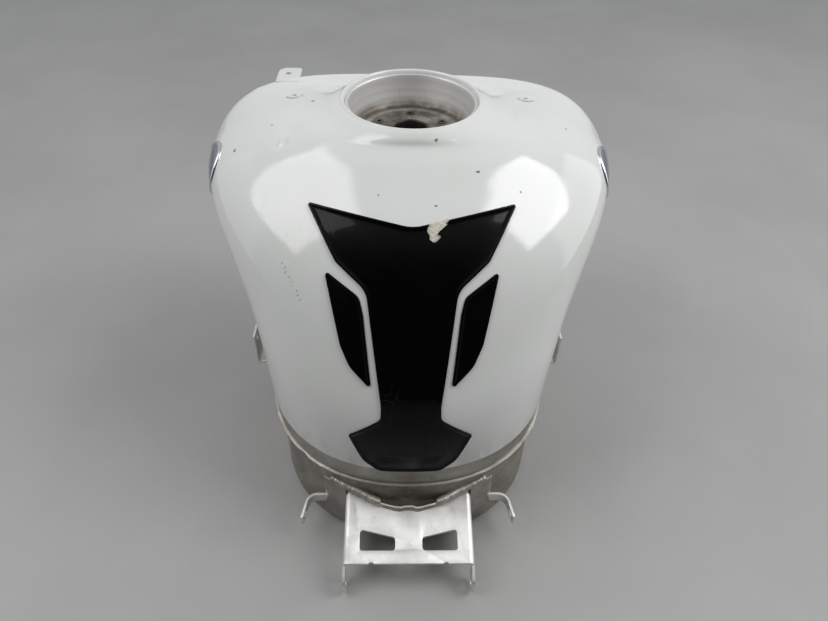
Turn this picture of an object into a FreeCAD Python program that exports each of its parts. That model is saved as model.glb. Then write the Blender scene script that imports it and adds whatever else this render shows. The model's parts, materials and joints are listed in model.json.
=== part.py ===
import FreeCAD, Part

import math
import os

from FreeCAD import Placement, Rotation, Vector

# A motorcycle fuel tank: a painted upper shell welded to a bare lower pan that straddles the frame.
# Everything is drawn in millimetres about the filler axis, with +Y towards the front wheel, +X to the
# rider's right and z = 0 on the surface that the tank stands on. export() moves it to the part's own
# origin, the middle of its footprint.

# ---- Driving dimensions (mm, degrees) ----
FAR = 400.0                  # how far trimming shapes reach past the part
FILLER_TO_CENTRE = 98.8      # filler axis ahead of the middle of the footprint
WALL = 2.0                   # sheet thickness of the shell, pan and tunnel
SEAM_REAR_Y = -242.0         # rearmost point of the seam ...
SEAM_REAR_Z = 79.4           # ... and its height
SEAM_SLOPE = 0.18            # the seam climbs forwards
SEAM_LIP = 3.0               # the welded lip stands out of the skin by this much
SEAM_LIP_WIDTH = 10.0
SEAM_LIP_THICK = 2.4
PAN_INSET = 5.0              # the pan's sides and front lie inside the skin's lower edge
PAN_FOOT_REACH = 147.0       # reach of the pan to the rear, on the floor ...
PAN_DRAFT = 0.2125           # ... and how much it loses with each millimetre of height
PAN_FORM_TOP = 170.0         # its form is drawn up to here and trimmed at the seam
PAN_EDGE_RADIUS = 10.0

# Rings of the outer skin, from the seam up and in to the filler. Each ring is a superellipse about
# (0, centre): half width, reach to the rear, reach to the front, exponents of the rear and front
# halves, and its height at the rear, at the sides and at the front. The first two heights are taken
# above the inclined plane of the seam.
RINGS = [
    # centre  half  rear front  n_rear n_front  z_rear z_side z_front
    (-110, 147, 132, 222, 2.25, 2.6, 0, 0, 0),
    (-109, 149, 135, 224, 2.25, 2.6, 24, 24, 24),
    (-98, 155, 148, 218, 2.2, 2.7, 168, 200, 240),
    (-80, 167, 142, 204, 2.2, 2.8, 228, 243, 286),
    (-50, 186, 138, 172, 2.25, 2.9, 280, 277, 319),
    (-20, 200, 132, 138, 2.3, 3.0, 318, 301, 343),
    (4, 201, 122, 105, 2.3, 3.1, 342, 325, 350.5),
    (8, 179, 103, 90, 2.3, 3.6, 357.5, 345, 360),
    (4, 138, 85, 84, 2.2, 3.6, 366, 361, 355),
    (0, 97, 77, 80, 2.1, 2.4, 371.5, 368, 358),
    (0, 69.5, 69.5, 69.5, 2.0, 2.0, 378.2, 378.2, 378.2),
]
RINGS_ON_SEAM = 2            # rings whose heights are taken above the seam plane
RING_POINTS = 40             # points that carry each section's closed curve
RING_STEP = 0.5              # a section at every ring and half way between

# Tunnel over the frame, open below and to the front
TUNNEL_REAR_Y = -116.0
TUNNEL_FRONT_Y = 140.0       # past the nose, so that the mouth is open
TUNNEL_REAR_HALF = 100.0
TUNNEL_FRONT_HALF = 66.0
TUNNEL_REAR_TOP = 250.0
TUNNEL_FRONT_TOP = 262.0

# Recess under the rear of the pan for the pump flange
RECESS_HALF = 58.0
RECESS_REAR_Y = -226.0
RECESS_TOP = 36.0
RECESS_CORNER = 24.0

# Filler: a spun cup hung under the skin's raised mouth, with six threaded inserts and a central neck
SKIN_TOP_Z = 378.2
LIP_Z = 374.4                # top of the cup's rolled lip, inside the mouth
CUP_RIM_R = 65.0
CUP_LIP_R = 62.8
CUP_FLOOR_R = 57.5
CUP_FLOOR_Z = 343.0
CUP_WALL = 1.5
CUP_FLANGE_R = 67.3          # the flange that is welded under the skin
CAP_PITCH_R = 37.5
CAP_SCREWS = 6
CAP_THREAD_R = 2.1
INSERT_R = 3.5
INSERT_LENGTH = 9.0
INSERT_HEAD_R = 4.5
INSERT_HEAD_THICK = 0.6
NECK_R = 15.5
NECK_OUTER_R = 17.5
NECK_BOTTOM_Z = 325.0
NECK_TOP_Z = 346.0
NECK_ROLL_R = 1.2            # radius of the rolled top edge's own section
NECK_ROLL_IN = 0.6           # its centre lies this far inside and below the neck's corner
DRAIN_XY = (-30.0, -38.0)
BREATHER_XY = (-62.0, 40.0)
PIPE_R = 4.0
PIPE_BORE = 3.0
PIPE_END_Z = 215.0
DRAIN_TOP_Z = 344.3
BREATHER_TOP_Z = 350.0

# Cross baffles: one plate on each side of the tunnel and one above it, pierced with round holes
BAFFLE_THICK = 1.5
BAFFLE_HOLE_R = 14.0
SIDE_BAFFLE_X = (95.0, 200.0)
SIDE_BAFFLE_Y = -41.0
SIDE_BAFFLE_Z = (110.0, 318.0)
SIDE_BAFFLE_HOLES = [(125.0, 160.0), (125.0, 205.0), (125.0, 250.0)]
CENTRE_BAFFLE_X = (-88.0, 88.0)
CENTRE_BAFFLE_Y = -86.0
CENTRE_BAFFLE_Z = (150.0, 335.0)
CENTRE_BAFFLE_HOLES = [(-50.0, 290.0), (0.0, 290.0), (50.0, 290.0)]

# Threaded inserts for the trim panel, on the shoulders ahead of the filler
COVER_INSERT_RING = 8.35     # place on the skin: ring number and angle from +X
COVER_INSERT_ANGLE = 16.7
COVER_INSERT_FLANGE_R = 7.5
COVER_INSERT_BARREL_R = 5.0
COVER_INSERT_THREAD_R = 2.5
COVER_INSERT_DEPTH = 12.0
COVER_INSERT_PROUD = 0.4     # the flange stands this much above the skin ...
COVER_INSERT_SEAT = 1.4      # ... in a seat this deep

# Flat tab ahead of the left shoulder: outline (x, y, corner radius), heights and hole
FRONT_TAB = [(-146, 80, 1), (-121, 80, 1), (-121, 118, 4), (-146, 118, 10)]
FRONT_TAB_Z = (355.0, 357.5)
FRONT_TAB_HOLE = (-135.0, 103.0)
FRONT_TAB_HOLE_R = 3.2

# Bent tab on each flank of the pan: a leg that runs out from the pan and an upstand with a hole
SIDE_TAB_THICK = 2.5
SIDE_TAB_X = (136.0, 172.5)
SIDE_TAB_Y = (-96.0, -74.0)
SIDE_TAB_Z = (100.5, 142.0)
SIDE_TAB_HOLE_Z = 132.0
SIDE_TAB_HOLE_R = 3.0

# Round badges on the flanks
BADGE_RING = 5.35
BADGE_ANGLE = -4.5
BADGE_R = 28.0
BADGE_FACE_R = 24.5

# Tank pads: outlines on a plane that leans against the rear of the skin, x across and s down the slope
PAD_TILT = 63.2
PAD_ORIGIN = Vector(0, -143, 327)
PAD_THICK = 2.0
PAD_REACH = 38.0
# half of the centre pad, from the middle of its top edge down the right side: x, s, corner radius
CENTRE_PAD = [
    (0, 3, 260), (93.5, -16.5, 2), (67, 32, 14), (40, 56, 22), (27, 160, 60), (27.5, 174, 8),
    (57.5, 194.5, 2), (45, 228, 30), (30, 243, 12),
]
SIDE_PAD = [(76.5, 39, 2), (46, 61, 12), (42.5, 76, 14), (35.5, 144, 2), (55, 123, 25), (63, 104, 20)]

# Rear bracket: a folded channel with two windows and two ears
DECK_HALF = 65.0
DECK_THICK = 2.5
DECK_FOLD_R = 5.0
DECK_REAR = (-306.0, 39.0)   # y, z of the deck's rear edge
DECK_SLOPE = 0.226
EAR_HOLE = (-312.0, 12.0)
EAR_HOLE_R = 4.5
EAR_R = 9.5
DECK_DEPTH = 70.0            # of the folded channel before its sides are cut to shape
DECK_REACH = (-330.0, -225.0)
FLANGE_BOTTOM_Z = 24.0
NOTCH_X = 37.0               # small notches in the deck's rear edge
NOTCH_HALF = 2.5
NOTCH_DEPTH = 1.2
# a window: x, y and corner radius
WINDOW = [(49, -273.5, 3), (49, -294, 3), (13.5, -294, 3), (13.5, -281.5, 3)]

# Wing plates and weld beads on the pan's rear wall
WING_X = 88.0
WING_Z = (14.0, 64.0)
BEAD_PROUD = 5.0
BEAD_X = (27.0, 82.0)
BEAD_HALF = 3.0
BEAD_MIDDLE_Z = 42.5
BEAD_CLIMB = 16.2

# Crescent stiffener between the deck and the pan: a bowed upright lip and the shelf behind it
CRESCENT_HALF = 38.0
CRESCENT_R = 73.0
CRESCENT_CENTRE_Y = -184.0
CRESCENT_THICK = 2.4
CRESCENT_Z = (46.0, 57.5)
SHELF_Z = (52.6, 55.0)
JOGGLE_HALF = 8.0            # the lip steps back in its middle ...
JOGGLE_STEP = 1.6            # ... by this much

# Hook straps beside the bracket
STRAP_THICK = 2.5
STRAP_Z = (28.0, 40.0)
STRAP_BEND_R = 11.0
STRAP_X = 96.0
STRAP_Y = -229.0
STRAP_ROOT_X = 80.0
STRAP_SPLAY = 10.0           # the free leg leans outwards ...
STRAP_LEG = 19.0             # ... and is this long
STRAP_SLOT = (-15.5, -7.5)   # along the leg, from its bend
STRAP_SLOT_HALF = 2.0

# Front mounting pegs inside the tunnel
PEG_Y = 40.0
PEG_Z = 120.0
PEG_R = 6.0
PEG_LENGTH = 24.0
PEG_FOOT_R = 16.0
PEG_FOOT_THICK = 6.0
RUBBER_R = 13.0
RUBBER_LENGTH = 15.0

# Pump module in the recess, on a vertical axis
PUMP_Y = -172.0
FLANGE_R = 48.0
FLANGE_BORE = 37.0
STUD_PITCH_R = 42.0
STUD_R = 2.5
STUD_END_Z = 18.5
STUDS = 6
STUD_CLEARANCE = 0.3
NUT_Z = (24.0, 28.5)
NUT_CORNER_R = 4.6
COVER_R = 47.5
COVER_Z = (28.5, 31.5)
GASKET_Z = (31.5, 33.0)
FLANGE_Z = (33.0, 39.0)
CASING_X = -10.0
CASING_R = 19.0
CASING_Z = (62.0, 148.0)
CASING_WALL = 1.5
CASING_END = 3.0             # thickness of the can's two ends
BOSS_R = 4.5                 # bosses inside the ends that hold the journals
BOSS_LENGTH = 7.0
SPIGOT_LENGTH = 12.0
SHAFT_R = 2.0
SHAFT_END_GAP = 2.3
JOURNAL_END = 2.0            # each journal stops this far from the end of the can
ARMATURE_R = 14.5
ARMATURE_Z = (86.0, 128.0)
ARMATURE_SLOTS = 10
ARMATURE_SLOT_R = 1.2
IMPELLER_R = 16.6
IMPELLER_Z = (72.0, 77.0)
IMPELLER_VANES = 24
IMPELLER_GAP_R = 0.9
IMPELLER_GAP_PITCH_R = 15.2
STRAINER_R = 15.0
STRAINER_Z = (40.0, 56.0)
STRAINER_NECK_R = 5.0
RUNNING_CLEARANCE = 0.04
REGULATOR_XY = (20.0, -16.0)
REGULATOR_R = 9.0
REGULATOR_WAIST_R = 10.5
REGULATOR_Z = (31.5, 62.0)
REGULATOR_WAIST_Z = (46.0, 50.0)
REGULATOR_SPIGOT = 10.0
HOSE_R = 4.5
HOSE_CROWN_Z = 166.0
RAIL_X = (12.0, 14.0)
RAIL_Y = (-4.5, 11.0)        # from the pump's axis
RAIL_TOP_Z = 150.0
BAND_HEIGHTS = (82.0, 124.0)
BAND_TALL = 9.0
BAND_THICK = 2.0
BRIDGE_Y = (-4.5, 6.0)
OUTLET_Y = -12.0             # from the pump's axis
OUTLET_Z = 19.0
OUTLET_R = 5.0
OUTLET_BORE = 3.0
OUTLET_LENGTH = 58.0
BARB_R = 6.0
BARB_LENGTH = 5.0
SOCKET_X = (-32.0, -14.0)
SOCKET_HALF = 8.0
SOCKET_BOTTOM_Z = 15.0
SOCKET_WALL = 1.8
SOCKET_ROOF = 3.0
PINS = 4
PIN_FIRST = 4.5
PIN_PITCH = 3.0
PIN_HALF = 0.5

# Level sender: an arm that swings in a plane across the tank
SENDER_AXIS_X = 26.0
SENDER_AXIS_Z = 110.0
SENDER_X_END = 32.0
SENDER_Y = (-2.0, 13.0)      # from the pump's axis
SENDER_Z = (98.0, 122.0)
SENDER_PIN_R = 1.5
SENDER_PIN_LENGTH = 5.0
HUB_R = 4.5
HUB_GAP = 0.3
HUB_LENGTH = 4.5
ARM_LENGTH = 66.0
ARM_LOW = -50.0              # angle of the arm with the tank empty
FLOAT_R = 11.0
FLOAT_LENGTH = 26.0
FLOAT_GAP = 2.0
WIRE_R = 1.2
WIRE_OVERHANG = 1.0          # of the spindle beyond the float

UP = Vector(0, 0, 1)
FORWARD = Vector(0, 1, 0)
BACKWARD = Vector(0, -1, 0)
RIGHT = Vector(1, 0, 0)


# ---- Small helpers ----

def export(name, shape):
    """Write one named piece in the part's own frame."""
    moved = shape.copy()
    moved.translate(Vector(0, FILLER_TO_CENTRE, 0))
    moved.exportStep("parts/" + name + ".step")


def export_pair(name, shape):
    """Write a piece of the right side and its mirror image on the left."""
    export(name + "_right", shape)
    export(name + "_left", mirrored(shape))


def mirrored(shape):
    return shape.mirror(Vector(0, 0, 0), RIGHT)


def box(x, y, z):
    """A box between three pairs of limits."""
    return Part.makeBox(x[1] - x[0], y[1] - y[0], z[1] - z[0], Vector(x[0], y[0], z[0]))


def rod(radius, start, end):
    axis = end - start
    return Part.makeCylinder(radius, axis.Length, start, axis)


def tube(outer, inner, start, end):
    return rod(outer, start, end).cut(rod(inner, start, end))


def upright(radius, x, y, z):
    """A vertical cylinder between two heights."""
    return rod(radius, Vector(x, y, z[0]), Vector(x, y, z[1]))


def around(count, radius, centre, first_angle):
    """Places on a pitch circle."""
    places = []
    for number in range(count):
        angle = math.radians(first_angle + 360.0 * number / count)
        places.append((centre[0] + radius * math.cos(angle), centre[1] + radius * math.sin(angle)))
    return places


def rounded_face(corners):
    """A flat face in XY whose corners (x, y, radius) are rounded by arcs."""
    starts = []
    arcs = []
    count = len(corners)
    for number, (x, y, radius) in enumerate(corners):
        here = Vector(x, y, 0)
        before = Vector(*corners[number - 1][:2], 0) - here
        after = Vector(*corners[(number + 1) % count][:2], 0) - here
        before.normalize()
        after.normalize()
        half = before.getAngle(after) / 2
        reach = radius / math.tan(half)
        bisector = before + after
        bisector.normalize()
        middle = here + bisector * (radius / math.sin(half) - radius)
        starts.append((here + before * reach, here + after * reach))
        arcs.append(Part.Arc(starts[-1][0], middle, starts[-1][1]).toShape())
    edges = []
    for number in range(count):
        edges.append(arcs[number])
        leave = starts[number][1]
        arrive = starts[(number + 1) % count][0]
        edges.append(Part.LineSegment(leave, arrive).toShape())
    return Part.Face(Part.Wire(edges))


def side_prism(corners, x):
    """A plate whose outline (y, z, radius) is seen from the side, between two x limits."""
    plate = rounded_face(corners).extrude(Vector(0, 0, x[1] - x[0]))
    plate.Placement = Placement(Vector(x[0], 0, 0), Rotation(FORWARD, UP, RIGHT, "XYZ"))
    return plate


# ---- The skin's formula ----

def natural_spline(values):
    """A function of the ring number that passes smoothly through the rings' values."""
    last = len(values) - 1
    weight = [0.0] * (last + 1)
    bend = [0.0] * (last + 1)
    for i in range(1, last):
        pivot = 4.0 - weight[i - 1]
        weight[i] = 1.0 / pivot
        step = 6.0 * (values[i + 1] - 2.0 * values[i] + values[i - 1])
        bend[i] = (step - bend[i - 1]) / pivot
    bend[last] = 0.0
    for i in range(last - 1, 0, -1):
        bend[i] -= weight[i] * bend[i + 1]

    def value(place):
        i = min(last - 1, max(0, int(place)))
        near = i + 1 - place
        far = place - i
        curve = (near ** 3 - near) * bend[i] + (far ** 3 - far) * bend[i + 1]
        return near * values[i] + far * values[i + 1] + curve / 6.0
    return value


def seam_height(y):
    return SEAM_REAR_Z + SEAM_SLOPE * (y - SEAM_REAR_Y)


def ring_table():
    """The rings with every height measured from the floor."""
    rows = []
    for number, ring in enumerate(RINGS):
        centre, half, rear, front, n_rear, n_front, z_rear, z_side, z_front = ring
        if number < RINGS_ON_SEAM:
            z_rear += seam_height(centre - rear)
            z_side += seam_height(centre)
            z_front += seam_height(centre + front)
        rows.append((centre, half, rear, front, n_rear, n_front, z_rear, z_side, z_front))
    return rows


RING_SPLINES = [natural_spline(column) for column in zip(*ring_table())]


def superellipse(angle, half, rear, front, n_rear, n_front):
    """Distance from the centre to the outline in the direction of an angle."""
    across = math.cos(angle)
    along = math.sin(angle)
    reach, power = (rear, n_rear) if along < 0 else (front, n_front)
    return (abs(across / half) ** power + abs(along / reach) ** power) ** (-1.0 / power)


def skin_point(ring, angle):
    """A point of the outer skin; a ring's height follows a parabola from rear to front."""
    row = [spline(ring) for spline in RING_SPLINES]
    centre, half, rear, front, n_rear, n_front, z_rear, z_side, z_front = row
    radius = superellipse(angle, half, rear, front, n_rear, n_front)
    along = radius * math.sin(angle)
    fall_rear = (z_side - z_rear) / rear
    rise_front = (z_front - z_side) / front
    curve = (rise_front - fall_rear) / (front + rear)
    slope = rise_front - curve * front
    return Vector(radius * math.cos(angle), centre + along, z_side + slope * along + curve * along ** 2)


def skin_normal(ring, angle):
    """The outward direction of the skin at a place."""
    small = 0.002
    up_skin = skin_point(min(ring + small, len(RINGS) - 1), angle) - skin_point(max(ring - small, 0), angle)
    round_skin = skin_point(ring, angle + small) - skin_point(ring, angle - small)
    normal = round_skin.cross(up_skin)
    normal.normalize()
    return normal


def closed_wire(points):
    curve = Part.BSplineCurve()
    curve.interpolate(Points=points, PeriodicFlag=True, Parameters=list(range(len(points) + 1)))
    return Part.Wire(curve.toShape())


def angles():
    """Directions round a ring, from the rear."""
    return [2 * math.pi * number / RING_POINTS - math.pi / 2 for number in range(RING_POINTS)]


def skin_section(ring, offset):
    """A closed section of the skin, moved outwards by an offset."""
    points = []
    for angle in angles():
        points.append(skin_point(ring, angle) + skin_normal(ring, angle) * offset)
    return closed_wire(points)


def seam_outline(offset, height_at):
    """The seam's outline, moved outwards by an offset, at a height that may depend on y."""
    centre, half, rear, front, n_rear, n_front = RINGS[0][:6]
    points = []
    for angle in angles():
        radius = superellipse(angle, half + offset, rear + offset, front + offset, n_rear, n_front)
        y = centre + radius * math.sin(angle)
        points.append(Vector(radius * math.cos(angle), y, height_at(y)))
    return closed_wire(points)


def skin_solid(offset):
    """The space above the seam plane inside the skin moved by an offset; both ends are flat."""
    wires = [seam_outline(offset, seam_height)]
    last = len(RINGS) - 1
    for number in range(1, int(last / RING_STEP)):
        wires.append(skin_section(number * RING_STEP, offset))
    crown = skin_section(last, 0.0)
    crown.translate(Vector(0, 0, offset))
    return Part.makeLoft(wires + [crown], True)


def seam_prism(offset, z):
    """An upright prism on the seam's outline between two heights."""
    base = Part.Face(seam_outline(offset, lambda y: z[0]))
    return base.extrude(Vector(0, 0, z[1] - z[0]))


def seam_slab(top, bottom):
    """A thick slab parallel to the seam plane; top and bottom are measured along its normal."""
    slab = box((-FAR, FAR), (-FAR, FAR), (bottom, top))
    lean = math.degrees(math.atan(SEAM_SLOPE))
    slab.Placement = Placement(Vector(0, SEAM_REAR_Y, SEAM_REAR_Z), Rotation(RIGHT, lean))
    return slab


# ---- Tunnel and recess ----

def arch_wire(half, top, y):
    """A round-topped arch across the tank."""
    spring = top - half
    corners = [Vector(-half, y, -FAR), Vector(-half, y, spring), Vector(0, y, top)]
    corners += [Vector(half, y, spring), Vector(half, y, -FAR)]
    edges = [Part.LineSegment(corners[0], corners[1]).toShape()]
    edges.append(Part.Arc(corners[1], corners[2], corners[3]).toShape())
    edges.append(Part.LineSegment(corners[3], corners[4]).toShape())
    edges.append(Part.LineSegment(corners[4], corners[0]).toShape())
    return Part.Wire(edges)


def hollow_below(extra):
    """The open space under the tank, grown by an extra thickness."""
    rear = arch_wire(TUNNEL_REAR_HALF + extra, TUNNEL_REAR_TOP + extra, TUNNEL_REAR_Y - extra)
    front = arch_wire(TUNNEL_FRONT_HALF + extra, TUNNEL_FRONT_TOP + extra, TUNNEL_FRONT_Y)
    tunnel = Part.makeLoft([rear, front], True, True)
    half = RECESS_HALF + extra
    back = RECESS_REAR_Y - extra
    corner = RECESS_CORNER + extra
    recess = rounded_face([(-half, back, corner), (half, back, corner),
                           (half, TUNNEL_REAR_Y + WALL, 1), (-half, TUNNEL_REAR_Y + WALL, 1)])
    recess.translate(Vector(0, 0, -FAR))
    return tunnel.fuse(recess.extrude(Vector(0, 0, RECESS_TOP + extra + FAR)))


# ---- Body of the tank ----

def pan_outline(inset, z):
    """The pan's outline at a height, moved inwards; its rear wall leans forwards as it rises."""
    centre, half, _, front, n_rear, n_front = RINGS[0][:6]
    inwards = PAN_INSET + inset
    rear = PAN_FOOT_REACH - PAN_DRAFT * z - inset
    points = []
    for angle in angles():
        radius = superellipse(angle, half - inwards, rear, front - inwards, n_rear, n_front)
        points.append(Vector(radius * math.cos(angle), centre + radius * math.sin(angle), z))
    return closed_wire(points)


def pan_form(inset, floor):
    return Part.makeLoft([pan_outline(inset, floor), pan_outline(inset, PAN_FORM_TOP)], True, True)


def pan_block(inset, floor, edge_radius):
    """The pan's outer or inner form, with a flat floor and a rounded lower edge."""
    block = pan_form(inset, floor)
    low_edges = [edge for edge in block.Edges if edge.BoundBox.ZMax < floor + 0.01]
    return block.makeFillet(edge_radius, low_edges)


def make_body(outer):
    """Upper shell, pan, tunnel and seam lip, trimmed to one another."""
    below = hollow_below(WALL)
    under_seam = seam_slab(0.0, -FAR)
    under_lip = seam_slab(-SEAM_LIP_THICK, -FAR)
    pan_outer = pan_block(0.0, 0.0, PAN_EDGE_RADIUS)
    pan_inner = pan_block(WALL, WALL, PAN_EDGE_RADIUS - WALL)
    inner = skin_solid(-WALL)
    mouth = upright(CUP_RIM_R, 0, 0, (CUP_FLOOR_Z, FAR))

    upper_shell = outer.cut(inner).cut(mouth).cut(below)
    lower_pan = pan_outer.cut(pan_inner).common(under_lip).cut(below)
    lip = seam_prism(SEAM_LIP, (0.0, FAR)).cut(seam_prism(SEAM_LIP - SEAM_LIP_WIDTH, (0.0, FAR)))
    seam_lip = lip.common(under_seam).cut(under_lip).cut(below)
    whole = outer.fuse(pan_outer.common(seam_slab(PAN_INSET, -FAR)))
    tunnel = below.cut(hollow_below(0.0)).common(whole)
    return upper_shell, lower_pan, seam_lip, tunnel, inner, pan_outer


def pierced_plate(x, y, z, holes):
    """A plate across the tank with round holes at given places (x, z)."""
    plate = box(x, (y, y + BAFFLE_THICK), z)
    for hole_x, hole_z in holes:
        start = Vector(hole_x, y - 1.0, hole_z)
        plate = plate.cut(rod(BAFFLE_HOLE_R, start, start + FORWARD * (BAFFLE_THICK + 2.0)))
    return plate


def make_baffles(inner):
    """Cross plates that slow the fuel, each cut to the shell and the tunnel."""
    below = hollow_below(WALL)
    side = pierced_plate(SIDE_BAFFLE_X, SIDE_BAFFLE_Y, SIDE_BAFFLE_Z, SIDE_BAFFLE_HOLES)
    centre = pierced_plate(CENTRE_BAFFLE_X, CENTRE_BAFFLE_Y, CENTRE_BAFFLE_Z, CENTRE_BAFFLE_HOLES)
    return side.common(inner).cut(below), centre.common(inner).cut(below)


# ---- Filler ----

def make_cup():
    """A spun cup: flat floor, sloping wall, rolled lip and a flange that meets the skin's underside."""
    floor_round = 3.0
    lip_round = 0.8
    flange_z = SKIN_TOP_Z - WALL
    line = [
        Vector(NECK_OUTER_R, 0, CUP_FLOOR_Z),
        Vector(CUP_FLOOR_R - floor_round, 0, CUP_FLOOR_Z),
        Vector(CUP_FLOOR_R, 0, CUP_FLOOR_Z + floor_round),
        Vector(CUP_LIP_R, 0, LIP_Z - lip_round),
        Vector(CUP_LIP_R + lip_round, 0, LIP_Z),
        Vector(CUP_RIM_R, 0, LIP_Z),
        Vector(CUP_RIM_R, 0, flange_z),
        Vector(CUP_FLANGE_R, 0, flange_z),
        Vector(CUP_FLANGE_R, 0, flange_z - CUP_WALL),
        Vector(CUP_RIM_R + CUP_WALL, 0, flange_z - CUP_WALL),
        Vector(CUP_RIM_R + CUP_WALL, 0, LIP_Z - CUP_WALL),
        Vector(CUP_LIP_R + CUP_WALL, 0, LIP_Z - CUP_WALL),
        Vector(CUP_FLOOR_R + CUP_WALL, 0, CUP_FLOOR_Z + floor_round - 0.5),
        Vector(CUP_FLOOR_R - floor_round + 0.6, 0, CUP_FLOOR_Z - CUP_WALL),
        Vector(NECK_OUTER_R, 0, CUP_FLOOR_Z - CUP_WALL),
    ]
    profile = Part.Face(Part.makePolygon(line + [line[0]]))
    cup = profile.revolve(Vector(0, 0, 0), UP, 360)
    for x, y in around(CAP_SCREWS, CAP_PITCH_R, (0, 0), 90):
        cup = cup.cut(upright(INSERT_R, x, y, (0.0, FAR)))
    return cup.cut(upright(PIPE_R, *DRAIN_XY, (0.0, FAR)))


def make_cap_inserts():
    """Threaded inserts in the floor of the cup, one for each cap screw."""
    inserts = []
    for x, y in around(CAP_SCREWS, CAP_PITCH_R, (0, 0), 90):
        insert = upright(INSERT_R, x, y, (CUP_FLOOR_Z - INSERT_LENGTH, CUP_FLOOR_Z))
        insert = insert.fuse(upright(INSERT_HEAD_R, x, y, (CUP_FLOOR_Z, CUP_FLOOR_Z + INSERT_HEAD_THICK)))
        inserts.append(insert.cut(upright(CAP_THREAD_R, x, y, (0.0, FAR))))
    return Part.makeCompound(inserts)


def make_neck():
    """The tube that the nozzle enters, with a rolled top edge."""
    neck = upright(NECK_OUTER_R, 0, 0, (NECK_BOTTOM_Z, NECK_TOP_Z))
    roll_centre = Vector(0, 0, NECK_TOP_Z - NECK_ROLL_IN)
    roll = Part.makeTorus(NECK_OUTER_R - NECK_ROLL_IN, NECK_ROLL_R, roll_centre, UP)
    return neck.fuse(roll).cut(upright(NECK_R, 0, 0, (0.0, FAR)))


def make_pipe(place, top_z):
    """An open pipe down from a given height to the tunnel."""
    x, y = place
    return upright(PIPE_R, x, y, (PIPE_END_Z, top_z)).cut(upright(PIPE_BORE, x, y, (0.0, FAR)))


# ---- Fittings on the skin ----

def make_cover_insert():
    """A flanged insert set into the shoulder, square to the skin, and the hole that it needs."""
    angle = math.radians(COVER_INSERT_ANGLE)
    place = skin_point(COVER_INSERT_RING, angle)
    axis = skin_normal(COVER_INSERT_RING, angle)
    bottom = place - axis * COVER_INSERT_DEPTH
    seat_floor = place - axis * COVER_INSERT_SEAT
    clear = place + axis * COVER_INSERT_DEPTH
    flange = rod(COVER_INSERT_FLANGE_R, seat_floor, place + axis * COVER_INSERT_PROUD)
    barrel = rod(COVER_INSERT_BARREL_R, bottom, place)
    thread = rod(COVER_INSERT_THREAD_R, bottom - axis, clear)
    seat = rod(COVER_INSERT_FLANGE_R, seat_floor, clear)
    return flange.fuse(barrel).cut(thread), seat.fuse(barrel)


def on_skin(blank, outer, raised):
    """The part of a blank that lies between the skin and a raised copy of it."""
    return blank.common(raised).cut(outer)


def export_pair_on_skin(name, blank, outer, raised):
    """Both sides are cut from the skin itself, so that each one lies close on it."""
    export(name + "_right", on_skin(blank, outer, raised))
    export(name + "_left", on_skin(mirrored(blank), outer, raised))


def badge_blanks():
    """Blanks for the bezel and the plain face of the right badge, square to the flank."""
    angle = math.radians(BADGE_ANGLE)
    place = skin_point(BADGE_RING, angle)
    axis = skin_normal(BADGE_RING, angle)
    start = place - axis * BADGE_R
    end = place + axis * BADGE_R
    return tube(BADGE_R, BADGE_FACE_R, start, end), rod(BADGE_FACE_R, start, end)


def pad_blank(corners):
    """A pad's outline as a prism square to the sloping rear of the skin."""
    face = rounded_face([(x, -s, radius) for x, s, radius in corners])
    blank = face.extrude(Vector(0, 0, 2 * PAD_REACH))
    lean = Rotation(RIGHT, PAD_TILT)
    inwards = lean.multVec(UP) * PAD_REACH
    blank.Placement = Placement(PAD_ORIGIN - inwards, lean)
    return blank


def centre_pad_outline():
    """The whole outline of the centre pad, from its right half."""
    return CENTRE_PAD + [(-x, s, radius) for x, s, radius in reversed(CENTRE_PAD[1:])]


def make_front_tab(outer):
    """The flat tab, which starts inside the skin and is cut back to it."""
    plate = rounded_face(FRONT_TAB).extrude(Vector(0, 0, FRONT_TAB_Z[1] - FRONT_TAB_Z[0]))
    plate.translate(Vector(0, 0, FRONT_TAB_Z[0]))
    return plate.cut(outer).cut(upright(FRONT_TAB_HOLE_R, *FRONT_TAB_HOLE, (0.0, FAR)))


def make_side_tab(pan_outer):
    leg_top = SIDE_TAB_Z[0] + SIDE_TAB_THICK
    upstand_x = (SIDE_TAB_X[1] - SIDE_TAB_THICK, SIDE_TAB_X[1])
    leg = box(SIDE_TAB_X, SIDE_TAB_Y, (SIDE_TAB_Z[0], leg_top)).cut(pan_outer)
    upstand = box(upstand_x, SIDE_TAB_Y, (leg_top, SIDE_TAB_Z[1]))
    middle = Vector(0, sum(SIDE_TAB_Y) / 2, SIDE_TAB_HOLE_Z)
    return leg.fuse(upstand).cut(rod(SIDE_TAB_HOLE_R, middle, middle + RIGHT * FAR)).removeSplitter()


# ---- Rear bracket ----

def deck_z(y):
    return DECK_REAR[1] + DECK_SLOPE * (y - DECK_REAR[0])


def deck_lean():
    return Rotation(RIGHT, math.degrees(math.atan(DECK_SLOPE)))


def under_deck():
    """All the space below the deck's upper surface."""
    block = box((-FAR, FAR), (-FAR, FAR), (-FAR, 0))
    block.Placement = Placement(Vector(0, *DECK_REAR), deck_lean())
    return block


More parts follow.
